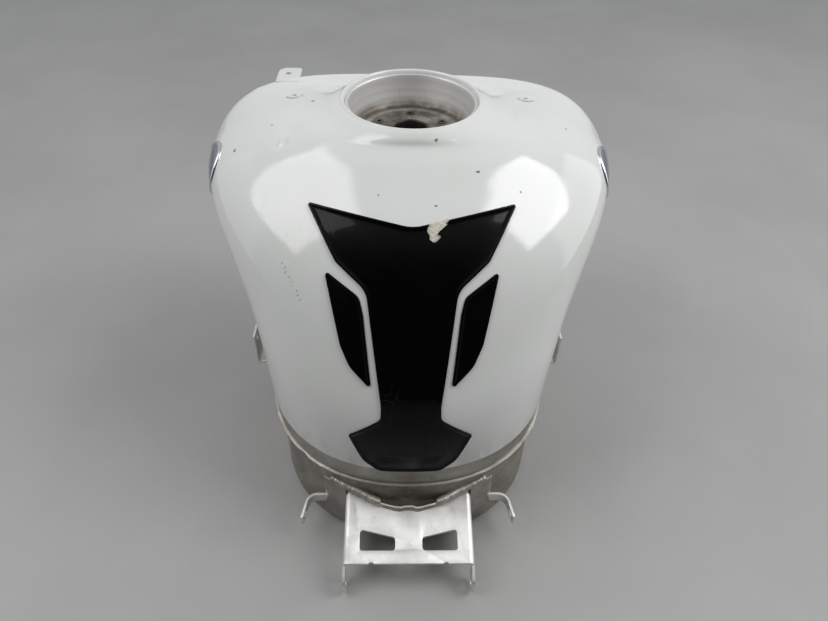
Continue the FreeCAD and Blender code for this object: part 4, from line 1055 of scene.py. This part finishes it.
class Surface:
    """A Principled material and short ways to add procedural detail, in metres of the frame."""

    def __init__(self, name, base, roughness, metallic=0.0, coat=0.0, coat_roughness=0.03):
        self.material = bpy.data.materials.new(name)
        self.material.use_nodes = True
        self.tree = self.material.node_tree
        self.shader = self.tree.nodes["Principled BSDF"]
        self.shader.inputs["Base Color"].default_value = (*base, 1)
        self.shader.inputs["Roughness"].default_value = roughness
        self.shader.inputs["Metallic"].default_value = metallic
        self.shader.inputs["Coat Weight"].default_value = coat
        self.shader.inputs["Coat Roughness"].default_value = coat_roughness
        self.place = self.tree.nodes.new("ShaderNodeTexCoord").outputs["Object"]

    def add(self, kind, inputs=None, **settings):
        node = self.tree.nodes.new(kind)
        for key, value in settings.items():
            setattr(node, key, value)
        for key, value in (inputs or {}).items():
            self.put(node.inputs[key], value)
        return node

    def put(self, socket, value):
        if isinstance(value, bpy.types.NodeSocket):
            self.tree.links.new(value, socket)
        else:
            socket.default_value = value

    def math(self, operation, first, second=0.0):
        return self.add("ShaderNodeMath", {0: first, 1: second}, operation=operation).outputs[0]

    def times(self, first, *others):
        """The product of several values."""
        for other in others:
            first = self.math("MULTIPLY", first, other)
        return first

    def plus(self, first, second):
        return self.math("ADD", first, second)

    def less(self, first, second):
        return self.math("SUBTRACT", first, second)

    def away(self, value, middle):
        """Distance of a value from a middle value."""
        return self.math("ABSOLUTE", self.less(value, middle))

    def most(self, first, second):
        return self.math("MAXIMUM", first, second)

    def moved(self, scale=(1, 1, 1), shift=(0, 0, 0), turn=(0, 0, 0)):
        inputs = {"Vector": self.place, "Scale": scale, "Location": shift, "Rotation": turn}
        return self.add("ShaderNodeMapping", inputs).outputs[0]

    def noise(self, scale, detail=4.0, roughness=0.55, place=None, distortion=0.0):
        inputs = {"Vector": place or self.place, "Scale": scale, "Detail": detail, "Roughness": roughness,
                  "Distortion": distortion}
        return self.add("ShaderNodeTexNoise", inputs).outputs["Fac"]

    def cells(self, scale):
        return self.add("ShaderNodeTexVoronoi", {"Vector": self.place, "Scale": scale}).outputs["Distance"]

    def spread(self, value, low, high, to_low=0.0, to_high=1.0):
        inputs = {0: value, 1: low, 2: high, 3: to_low, 4: to_high}
        return self.add("ShaderNodeMapRange", inputs, interpolation_type="SMOOTHSTEP").outputs[0]

    def fade(self, value, full, none):
        """One up to a value, none beyond another."""
        return self.spread(value, full, none, 1.0, 0.0)

    def bands(self, scale, direction):
        inputs = {"Vector": self.place, "Scale": scale}
        return self.add("ShaderNodeTexWave", inputs, bands_direction=direction).outputs["Fac"]

    def mix(self, share, first, second):
        node = self.add("ShaderNodeMix", {0: share}, data_type="RGBA")
        self.put(node.inputs[6], first if isinstance(first, bpy.types.NodeSocket) else (*first, 1))
        self.put(node.inputs[7], second if isinstance(second, bpy.types.NodeSocket) else (*second, 1))
        return node.outputs[2]

    def colour(self, value):
        self.put(self.shader.inputs["Base Color"], value)

    def roughness(self, value):
        self.put(self.shader.inputs["Roughness"], value)

    def bump(self, height, distance, coat=False):
        node = self.add("ShaderNodeBump", {"Height": height, "Distance": distance, "Strength": 1.0})
        self.put(self.shader.inputs["Normal"], node.outputs[0])
        if coat:
            self.put(self.shader.inputs["Coat Normal"], node.outputs[0])

    def axis(self, number):
        split = self.add("ShaderNodeSeparateXYZ", {0: self.place})
        return split.outputs[number]

    def from_filler(self):
        """Distance from the filler axis and height, as a vector that is the same all the way round."""
        x = self.axis(0)
        y = self.less(self.axis(1), FILLER_Y)
        radius = self.math("SQRT", self.plus(self.times(x, x), self.times(y, y)))
        joined_up = self.add("ShaderNodeCombineXYZ", {0: radius, 1: 0.0, 2: self.axis(2)})
        return joined_up.outputs[0], radius

    def scratches(self, scale, turn, width=0.012, length=9.0):
        """Sparse fine lines: thin level sets of a noise stretched along one direction."""
        place = self.moved((1, 1 / length, 1), turn=turn)
        lines = self.away(self.noise(scale, 1.0, 0.5, place, 0.4), 0.5)
        thin = self.fade(lines, 0.0, width)
        patches = self.spread(self.noise(scale * 0.35, 2.0), 0.56, 0.64)
        return self.times(thin, patches)


def seam_distance(surface):
    """Height above the plane of the seam, in metres."""
    y = surface.less(surface.axis(1), FILLER_Y + SEAM_REAR[0] * MM)
    rise = surface.times(y, SEAM_SLOPE)
    return surface.less(surface.less(surface.axis(2), rise), SEAM_REAR[1] * MM)


def paint(name, base, grime):
    """Light solid paint under clear lacquer: road dust near the seam, a painted shadow along the crease at
    the paint's lower edge, dark specks, hairline scratches.
    """
    s = Surface(name, base, 0.45, coat=1.0, coat_roughness=0.03)
    s.shader.inputs["Specular IOR Level"].default_value = 0.1
    s.shader.inputs["Coat IOR"].default_value = 1.62
    cloud = s.spread(s.noise(9.0, 3.0), 0.35, 0.7)
    tone = s.mix(cloud, base, [value * shade for value, shade in zip(base, (0.965, 0.965, 0.95))])
    low = s.fade(seam_distance(s), BAND_HEIGHT * MM, 0.075)
    streaks = s.spread(s.noise(55.0, 5.0, 0.6, s.moved((1, 1, 0.25))), 0.42, 0.72)
    tone = s.mix(s.times(low, streaks, 0.42), tone, grime)
    # Painted shadow: a dark line coloured along the crease at the paint's lower edge, where shade falls.
    crease_shadow = s.spread(s.away(seam_distance(s), BAND_HEIGHT * MM), 0.0006, 0.0036, 0.9, 0.0)
    tone = s.mix(crease_shadow, tone, [value * 0.38 for value in grime])
    speck = s.fade(s.cells(210.0), 0.035, 0.06)
    rare = s.spread(s.noise(38.0, 2.0), 0.60, 0.63)
    tone = s.mix(s.times(speck, rare), tone, (0.16, 0.13, 0.10))
    lines = s.most(s.scratches(26.0, (0.4, 0.2, 0.5), 0.006), s.scratches(34.0, (1.2, 0.9, -0.7), 0.005))
    s.colour(s.mix(s.times(lines, 0.07), tone, (0.42, 0.41, 0.38)))
    s.roughness(s.spread(s.noise(30.0, 4.0), 0.3, 0.7, 0.40, 0.55))
    fine = s.plus(s.times(s.noise(900.0, 2.0), 0.10), s.times(lines, -0.12))
    s.bump(s.plus(fine, s.noise(16.0, 2.0)), 0.00035, coat=True)
    return s.material


def sheet_metal(name, base, dull, roughness, stain, stain_share, grain=1.0, spots=0.0):
    """Bare aluminium sheet: cloudy oxide, brown stains, rolling grain and small knocks."""
    s = Surface(name, base, sum(roughness) / 2, metallic=1.0)
    cloud = s.spread(s.noise(24.0, 6.0, 0.62), 0.36, 0.68)
    tone = s.mix(cloud, base, dull)
    patch = s.spread(s.noise(17.0, 7.0, 0.68, s.moved(shift=(3.1, 1.7, 0.4)), 0.6), 0.50, 0.68)
    tone = s.mix(s.times(patch, stain_share), tone, stain)
    if spots:
        pits = s.fade(s.cells(330.0), 0.05, 0.16)
        rare = s.spread(s.noise(60.0, 3.0), 0.52, 0.60)
        tone = s.mix(s.times(pits, rare, spots), tone, [value * 0.35 for value in stain])
    s.colour(tone)
    s.roughness(s.plus(s.spread(s.noise(60.0, 5.0, 0.6), 0.3, 0.7, *roughness), s.times(patch, 0.12)))
    rolled = s.noise(700.0, 3.0, 0.6, s.moved((1.0, 0.06, 1.0)))
    knocks = s.noise(120.0, 3.0, 0.5)
    s.bump(s.plus(s.times(rolled, 0.25 * grain), s.times(knocks, 0.9)), 0.00022)
    return s.material


def spun(name, base, dull, grime):
    """Spun aluminium: fine rings, a satin sheen, brown film at the foot of the wall, soot on the floor, and
    painted shade that colours the neck's throat and rim near black.
    """
    s = Surface(name, base, 0.34, metallic=0.6)
    around, radius = s.from_filler()
    height = s.axis(2)
    rings = s.noise(900.0, 3.0, 0.7, around)
    broad = s.noise(170.0, 2.0, 0.6, around)
    tone = s.mix(s.spread(broad, 0.3, 0.7), base, dull)
    scuffs = s.spread(s.noise(75.0, 6.0, 0.65, s.moved((1, 1, 0.25))), 0.55, 0.72)
    tone = s.mix(s.times(scuffs, 0.35), tone, [value * 0.6 for value in dull])
    foot = s.fade(height, 0.3448, 0.3535)
    blotch = s.spread(s.noise(42.0, 6.0, 0.62), 0.32, 0.6, 0.35, 1.0)
    tone = s.mix(s.times(foot, blotch, 0.85), tone, (0.23, 0.18, 0.13))
    floor = s.times(s.fade(height, 0.3440, 0.3465), s.spread(radius, 0.0595, 0.0560))
    soot = s.spread(s.noise(60.0, 7.0, 0.7), 0.30, 0.62, 0.45, 0.97)
    ring = s.spread(s.away(radius, 0.0475), 0.0012, 0.0045, 0.45, 1.0)
    tone = s.mix(s.times(floor, s.times(soot, ring)), tone, grime)
    # Painted shade: inside the neck's radius the colour goes near black, as the hole down into the tank is
    # dark.
    throat_shade = s.spread(radius, 0.0180, 0.0192, 0.93, 0.0)
    s.colour(s.mix(throat_shade, tone, (0.012, 0.011, 0.010)))
    polish = s.spread(rings, 0.3, 0.7, 0.30, 0.48)
    s.roughness(s.plus(polish, s.times(s.plus(scuffs, floor), 0.16)))
    s.bump(s.plus(s.times(rings, 0.5), s.times(s.noise(140.0, 3.0), 0.6)), 0.00012)
    return s.material


def gloss_pad(name):
    """Poured black resin: a hard gloss with dust, wiped hazes and hairline scratches."""
    base = (0.0014, 0.0014, 0.0016)
    s = Surface(name, base, 0.20, coat=0.18, coat_roughness=0.05)
    s.shader.inputs["Specular IOR Level"].default_value = 0.06
    dust = s.fade(s.cells(420.0), 0.03, 0.07)
    rare = s.spread(s.noise(70.0, 3.0), 0.50, 0.58)
    haze = s.spread(s.noise(11.0, 5.0, 0.62, s.moved(shift=(0.3, 0.1, 0.2))), 0.50, 0.74)
    upper = s.spread(s.axis(2), 0.285, 0.335)
    long_lines = s.scratches(30.0, (0.2, 0.5, 0.9), 0.010, 14.0)
    lines = s.most(long_lines, s.scratches(22.0, (0.9, 0.1, -0.5), 0.008, 12.0))
    tone = s.mix(s.times(haze, s.times(upper, 0.10)), base, (0.10, 0.10, 0.098))
    tone = s.mix(s.times(dust, rare, 0.5), tone, (0.22, 0.21, 0.19))
    tone = s.mix(s.times(lines, 0.10), tone, (0.10, 0.10, 0.10))
    s.colour(tone)
    rough = s.plus(s.spread(s.noise(35.0, 5.0), 0.3, 0.7, 0.13, 0.27), s.times(haze, 0.2))
    s.roughness(s.plus(rough, s.times(lines, 0.1)))
    s.bump(s.plus(s.noise(14.0, 2.0), s.times(lines, -0.08)), 0.0004, coat=True)
    return s.material


def plain_detail(name, base, roughness, metallic=0.0, scale=60.0, depth=0.0001, contrast=0.8, coat=0.0):
    """A finish with mottled colour, uneven gloss and a fine texture."""
    s = Surface(name, base, roughness, metallic, coat)
    cloud = s.spread(s.noise(scale, 6.0, 0.6), 0.35, 0.7)
    s.colour(s.mix(cloud, base, [value * contrast for value in base]))
    s.roughness(s.spread(s.noise(scale * 1.7, 4.0), 0.3, 0.7, roughness * 0.8, min(1.0, roughness * 1.25)))
    s.bump(s.noise(scale * 6.0, 3.0), depth)
    return s.material


def woven(name, base):
    """Two sets of strands that cross."""
    s = Surface(name, base, 0.7)
    weave = s.times(s.bands(260.0, "X"), s.bands(260.0, "Z"))
    s.colour(s.mix(weave, [value * 0.6 for value in base], base))
    s.bump(weave, 0.0003)
    return s.material


WHITE = paint("white_paint", (0.74, 0.75, 0.735), (0.40, 0.37, 0.32))
TAB_PAINT = paint("tab_paint", (0.70, 0.71, 0.69), (0.40, 0.37, 0.32))
BAND = sheet_metal(
    "bare_band", (0.44, 0.43, 0.40), (0.33, 0.315, 0.285), (0.38, 0.54), (0.26, 0.22, 0.17), 0.55, 1.0, 0.5)
BARE = sheet_metal(
    "bare_sheet", (0.38, 0.365, 0.33), (0.27, 0.25, 0.22), (0.42, 0.60), (0.24, 0.20, 0.155), 0.6, 1.0, 0.6)
LIP_METAL = sheet_metal(
    "lip_metal", (0.40, 0.38, 0.34), (0.28, 0.26, 0.225), (0.40, 0.55), (0.24, 0.20, 0.15), 0.6, 0.6, 0.6)
BRIGHT = sheet_metal(
    "bright_sheet", (0.86, 0.855, 0.84), (0.72, 0.71, 0.68), (0.46, 0.60), (0.45, 0.39, 0.31), 0.35, 1.3, 0.4)
WING_METAL = sheet_metal(
    "wing_sheet", (0.42, 0.40, 0.37), (0.28, 0.26, 0.235), (0.44, 0.62), (0.20, 0.165, 0.13), 0.65, 1.0, 0.7)
WELD = sheet_metal(
    "weld_metal", (0.50, 0.475, 0.43), (0.30, 0.275, 0.24), (0.46, 0.62), (0.20, 0.16, 0.12), 0.6, 0.4, 0.8)
SPUN = spun("spun_aluminium", (0.88, 0.875, 0.86), (0.74, 0.73, 0.71), (0.085, 0.075, 0.065))
ZINC = plain_detail("zinc_plate", (0.58, 0.57, 0.53), 0.34, 1.0, 120.0, 0.00008, 0.7)
PAD = gloss_pad("pad_resin")
SILVER = plain_detail("badge_silver", (0.72, 0.73, 0.74), 0.20, 1.0, 90.0, 0.00004, 0.86)
SLATE = plain_detail("badge_slate", (0.085, 0.115, 0.175), 0.16, 0.0, 70.0, 0.00003, 0.75, 1.0)
RUBBER = plain_detail("black_rubber", (0.028, 0.028, 0.029), 0.62, 0.0, 90.0, 0.00025, 0.6)
ACETAL = plain_detail("dark_acetal", (0.055, 0.056, 0.060), 0.42, 0.0, 80.0, 0.00012, 0.7)
NYLON = woven("woven_nylon", (0.74, 0.73, 0.67))
BRASS = plain_detail("tinned_brass", (0.72, 0.56, 0.28), 0.30, 1.0, 110.0, 0.00005, 0.75)
CHIP = plain_detail("chip_primer", (0.26, 0.22, 0.17), 0.62, 0.0, 900.0, 0.00010, 0.45)
RESIDUE = plain_detail("tape_residue", (0.70, 0.66, 0.56), 0.66, 0.0, 420.0, 0.00035, 0.66)
SCRAPE = plain_detail("scrape_mark", (0.40, 0.38, 0.33), 0.55, 0.0, 700.0, 0.00008, 0.7)
# A dark sheet used as a painted shadow on the shelf behind the crescent lip.
SHELF_SHADOW_SHEET = sheet_metal(
    "shelf_shadow_sheet", (0.15, 0.135, 0.115), (0.09, 0.08, 0.07), (0.50, 0.65), (0.07, 0.055, 0.04), 0.5)
SOOTED = plain_detail("sooted_steel", (0.105, 0.095, 0.082), 0.55, 0.6, 300.0, 0.00012, 0.4)
CARRIED_OVER = {
    "plated_steel": ZINC, "black_rubber": RUBBER, "dark_plastic": ACETAL, "white_plastic": NYLON,
    "brass_pins": BRASS, "bare_aluminium": BARE, "bright_aluminium": BRIGHT, "spun_aluminium": SPUN,
    "white_paint": WHITE, "pad_black": PAD, "badge_silver": SILVER, "badge_slate": SLATE,
}
OWN_FINISH = {"cap_screw_inserts": SOOTED, "cover_insert_left": WHITE, "cover_insert_right": WHITE}


def dress_cad_nodes():
    """Gives every CAD node the procedural finish of its own slot, or one of its own."""
    for part in frame["record"]["subparts"]:
        node = frame["nodes"][part["node"]]
        material = OWN_FINISH.get(part["node"], CARRIED_OVER[part["material_slot"]])
        if not node.data.materials:
            node.data.materials.append(material)
        for slot in node.material_slots:
            slot.material = material


# ---- The tank ----

def build_skin(skin):
    shell = make_upper_shell()
    shell.data.materials.append(WHITE)
    shell.data.materials.append(BAND)
    cut_shell(shell)
    settle(shell, ["upper_shell"])
    finish_piece(make_seam_lip(), LIP_METAL, ["seam_lip"])
    finish_piece(make_pan(), BARE, ["lower_pan"])
    for side, word in ((-1, "left"), (1, "right")):
        bezel = make_badge(side, BEZEL_PROFILE, "badge_rim_" + word, True, skin)
        finish_piece(bezel, SILVER, ["badge_bezel_" + word])
        face = make_badge(side, FACE_PROFILE, "badge_disc_" + word, False, skin)
        finish_piece(face, SLATE, ["badge_face_" + word])


TEAR = [
    # outline of the torn spot, in the pad's plane
    (14.5, -12.0), (15.2, -1.0), (13.2, 2.4), (12.4, 5.8), (14.4, 8.8), (14.6, 12.4), (17.0, 14.8),
    (20.0, 15.2), (22.4, 12.6), (24.6, 10.6), (23.4, 8.8), (21.6, 8.0), (23.0, 5.2), (26.0, 2.0),
    (29.0, -0.8), (31.8, -3.4), (32.4, -12.0),
]
GLUE_FILM = TEAR[2:-2] + [(30.5, -3.5), (23.5, -2.0), (16.0, -1.0)]
FRAGMENTS = [
    # outline in the pad's plane, height above the skin
    ([(27.4, -3.4), (31.0, -4.4), (31.2, -0.8), (27.6, 2.6), (23.4, 5.8), (20.6, 9.2), (17.4, 10.8),
      (14.6, 9.4), (15.4, 6.4), (19.6, 3.2), (23.6, -0.4)], 1.3),
    ([(14.6, 8.8), (17.8, 9.4), (21.4, 11.2), (20.4, 13.8), (17.6, 15.0), (15.0, 13.2)], 2.0),
]


PATCH_TUCK = 0.15
PATCH_STEP = 1.6


def lay_patch(name, outline, skin, low, high, rough=0.35):
    """A thin ragged patch on the skin, with a crumpled face and a tucked edge."""
    outline = np.asarray(outline, float)
    contour = subdivided(outline, parts_needed(outline, PATCH_STEP))
    turns = full_turn(len(contour))
    middle = contour.mean(axis=0)
    contour = contour + (contour - middle) * (0.03 * fine_noise(turns, (5, 9, 16), 12))[:, None]
    points, triangles = filled(contour, 2.2)
    count = len(contour)
    rise = high + rough * fine_noise(points[:, 0] * 1.3 + points[:, 1] * 0.7, (1, 2, 3), 5)
    rise[:count] = high - PATCH_TUCK
    upper = skin.drape(points, rise, PAD_ORIGIN, RIGHT, PAD_DOWN)
    lower = skin.drape(points, np.full(len(points), low), PAD_ORIGIN, RIGHT, PAD_DOWN)
    faces = [list(triangle) for triangle in triangles]
    faces += [[corner + len(points) for corner in triangle] for triangle in triangles]
    for i in range(count):
        after = (i + 1) % count
        faces.append([i, after, after + len(points), i + len(points)])
    return new_piece(name, np.concatenate([upper, lower]), faces, 40.0)


def build_pads(skin):
    centre = make_pad("pad_centre", mirrored_outline(CENTRE_PAD), skin)
    facing = np.cross(RIGHT, PAD_DOWN)
    facing = facing * math.copysign(1.0, -facing[1])

    def pad_space(u, v, w):
        return PAD_ORIGIN + u[:, None] * RIGHT + v[:, None] * PAD_DOWN + w[:, None] * facing

    boolean(centre, prism("tear", TEAR, -40.0, 40.0, pad_space))
    smooth(centre, 50.0)
    finish_piece(centre, PAD, ["tank_pad_centre"])
    for side, word in ((-1, "left"), (1, "right")):
        corners = [(x * side, s, radius) for x, s, radius in SIDE_PAD]
        finish_piece(make_pad("pad_" + word, corners, skin), PAD, ["tank_pad_" + word])
    finish_piece(lay_patch("tape_residue", GLUE_FILM, skin, -0.2, 0.28, 0.08), RESIDUE)
    for number, (outline, height) in enumerate(FRAGMENTS):
        scrap = lay_patch("pad_scrap_%d" % number, outline, skin, -0.1, height)
        finish_piece(scrap, RESIDUE)


def build_filler():
    finish_piece(make_cup(), SPUN, ["filler_cup"])
    finish_piece(lathe("rolled_neck", NECK_PROFILE, 96), SPUN, ["filler_neck"])


# Height above which the lip's upward faces get the painted highlight.
CRESCENT_EDGE_Z = 56.2


def paint_crescent_highlight_and_shadow(piece):
    """Painted light on the lip: its upward faces at the top get the bright sheet as a painted highlight, and
    the upward faces of the shelf behind it get a dark sheet as a painted shadow.
    """
    piece.data.materials.append(BRIGHT)
    piece.data.materials.append(SHELF_SHADOW_SHEET)
    for face in piece.data.polygons:
        if face.normal.z > 0.25 and face.center.z > CRESCENT_EDGE_Z * MM:
            face.material_index = 1
        elif face.normal.z > 0.7:
            face.material_index = 2


def build_metalwork():
    finish_piece(make_bracket(), BRIGHT, ["rear_bracket"])
    crescent = make_crescent()
    finish_piece(crescent, WELD, ["pan_stiffener"])
    # Painted highlight on the lip's top and painted shadow on the shelf behind it.
    paint_crescent_highlight_and_shadow(crescent)
    for side, word in ((-1, "left"), (1, "right")):
        finish_piece(make_wing(side), WING_METAL, ["bracket_wing_" + word])
        finish_piece(make_hook(side), BRIGHT, ["hook_strap_" + word])
        finish_piece(make_weld_bead(side), WELD, ["weld_bead_" + word])
        finish_piece(make_side_tab(side), BRIGHT, ["side_tab_" + word])
    finish_piece(make_front_tab(), TAB_PAINT, ["front_tab"])


CHIPS = [
    # place, size, stretch
    (-98.0, 12.0, 366.6, 1.5, 1.6), (-169.0, -47.0, 343.5, 1.6, 1.0), (58.5, -97.5, 352.4, 1.2, 1.5),
    (20.4, -127.3, 335.6, 1.0, 1.3), (21.0, -74.5, 370.5, 1.4, 1.2), (-132.0, -31.0, 359.0, 0.9, 1.0),
    (96.0, -104.0, 333.0, 0.8, 1.0), (-30.0, -119.0, 341.0, 0.8, 1.0), (150.0, -20.0, 352.0, 1.0, 1.4),
]
SCRAPE_START = np.array([-115.0, -154.0, 292.0])
SCRAPE_END = np.array([-98.0, -178.0, 270.0])


def build_marks(skin):
    """Chips and a scrape in the paint."""
    marks = [make_mark("chip", skin, (x, y, z), size, number, 0.06, stretch)
             for number, (x, y, z, size, stretch) in enumerate(CHIPS)]
    finish_piece(joined("paint_chips", marks), CHIP)
    dashes = []
    for number, share in enumerate(np.linspace(0.0, 1.0, 9)):
        place = SCRAPE_START + (SCRAPE_END - SCRAPE_START) * share + RIGHT * 1.2 * math.sin(number * 2.3)
        stretch = 2.2 + 1.2 * math.sin(number)
        dashes.append(make_mark("dash", skin, place, 0.5, 40 + number, 0.04, stretch, 1.0))
    finish_piece(joined("scrape_marks", dashes), SCRAPE)


# ---- Room, light and camera ----

FLOOR_HALF = 6.0               # metres


def make_floor():
    mesh = bpy.data.meshes.new("floor")
    corners = [(x * FLOOR_HALF, y * FLOOR_HALF, 0) for x, y in ((-1, -1), (1, -1), (1, 1), (-1, 1))]
    mesh.from_pydata(corners, [], [(0, 1, 2, 3)])
    floor = bpy.data.objects.new("floor", mesh)
    bpy.context.scene.collection.objects.link(floor)
    s = Surface("floor_paint", (0.37, 0.37, 0.36), 0.55)
    s.colour(s.mix(s.spread(s.noise(3.0, 5.0), 0.3, 0.7), (0.38, 0.38, 0.37), (0.34, 0.34, 0.33)))
    s.bump(s.noise(90.0, 3.0), 0.0003)
    mesh.materials.append(s.material)


LAMP_TARGET = (0.0, -90.0, 340.0)
LAMPS = [
    # name, place in millimetres about the filler axis, size in metres, watts, turn in degrees
    ("left_panel", (-1202.0, -368.0, 1917.0), (1.185, 1.5), 15.5, 8.0),
    ("right_panel", (1355.0, -297.0, 1800.0), (1.0, 1.2), 18.0, -17.0),
    ("right_fill", (2600.0, 300.0, 1100.0), (2.0, 2.0), 14.0, 0.0),
    ("left_fill", (-2600.0, 300.0, 1100.0), (2.0, 2.0), 3.5, 0.0),
]


def facing_matrix(place, target, spin):
    """A light's placement: it shines from a place towards a target, turned about its own axis."""
    back = (Vector(place) - Vector(target)).normalized()
    across = Vector((0, 0, 1)).cross(back).normalized()
    along = back.cross(across)
    turn = Matrix((across, along, back)).transposed().to_4x4()
    return Matrix.Translation(place) @ turn @ Matrix.Rotation(math.radians(spin), 4, "Z")


def add_panel(name, place, size, power, spin):
    """A soft rectangular lamp that shines on the tank."""
    light = bpy.data.lights.new(name, "AREA")
    light.shape = "RECTANGLE"
    light.size, light.size_y = size
    light.energy = power
    lamp = bpy.data.objects.new(name, light)
    bpy.context.scene.collection.objects.link(lamp)
    lamp.matrix_world = facing_matrix(in_frame([place])[0], in_frame([LAMP_TARGET])[0], spin)


ROOM_BEHIND = 0.03             # strength of the room's light behind the tank ...
ROOM_AROUND = 0.54             # ... and everywhere else
ROOM_FADE = (-0.75, -0.15)     # the part of the way round in which the one becomes the other


def add_world():
    """An even room that is darker behind the tank."""
    world = bpy.data.worlds.new("studio")
    world.use_nodes = True
    nodes = world.node_tree.nodes
    links = world.node_tree.links
    background = nodes["Background"]
    background.inputs["Color"].default_value = (0.95, 0.97, 1.0, 1)
    direction = nodes.new("ShaderNodeTexCoord")
    split = nodes.new("ShaderNodeSeparateXYZ")
    links.new(direction.outputs["Generated"], split.inputs[0])
    fade = nodes.new("ShaderNodeMapRange")
    fade.interpolation_type = "SMOOTHSTEP"
    limits = (*ROOM_FADE, ROOM_BEHIND, ROOM_AROUND)
    for key, value in zip(("From Min", "From Max", "To Min", "To Max"), limits):
        fade.inputs[key].default_value = value
    links.new(split.outputs["Y"], fade.inputs["Value"])
    links.new(fade.outputs["Result"], background.inputs["Strength"])
    bpy.context.scene.world = world


CAMERA_PLACE = (-13.95, -601.79, 645.18)   # about the filler axis
CAMERA_TURN = -2.173                       # degrees
CAMERA_TILT = 42.397                       # below the horizon
CAMERA_ROLL = 1.791
SENSOR_WIDTH = 36.0
LENS = 27.83


def add_camera():
    data = bpy.data.cameras.new("camera")
    data.sensor_width = SENSOR_WIDTH
    data.lens = LENS
    data.clip_start = 0.02
    data.clip_end = 40.0
    camera = bpy.data.objects.new("camera", data)
    bpy.context.scene.collection.objects.link(camera)
    place = Matrix.Translation(in_frame([CAMERA_PLACE])[0])
    turn = Matrix.Rotation(math.radians(CAMERA_TURN), 4, "Z")
    tilt = Matrix.Rotation(math.radians(90 - CAMERA_TILT), 4, "X")
    roll = Matrix.Rotation(math.radians(CAMERA_ROLL), 4, "Z")
    camera.matrix_world = place @ turn @ tilt @ roll
    bpy.context.scene.camera = camera


dress_cad_nodes()
drape_skin = Skin()
build_skin(drape_skin)
build_pads(drape_skin)
build_filler()
build_metalwork()
build_marks(drape_skin)
make_floor()
for lamp_row in LAMPS:
    add_panel(*lamp_row)
add_world()
add_camera()
bpy.context.scene.view_settings.view_transform = "Standard"
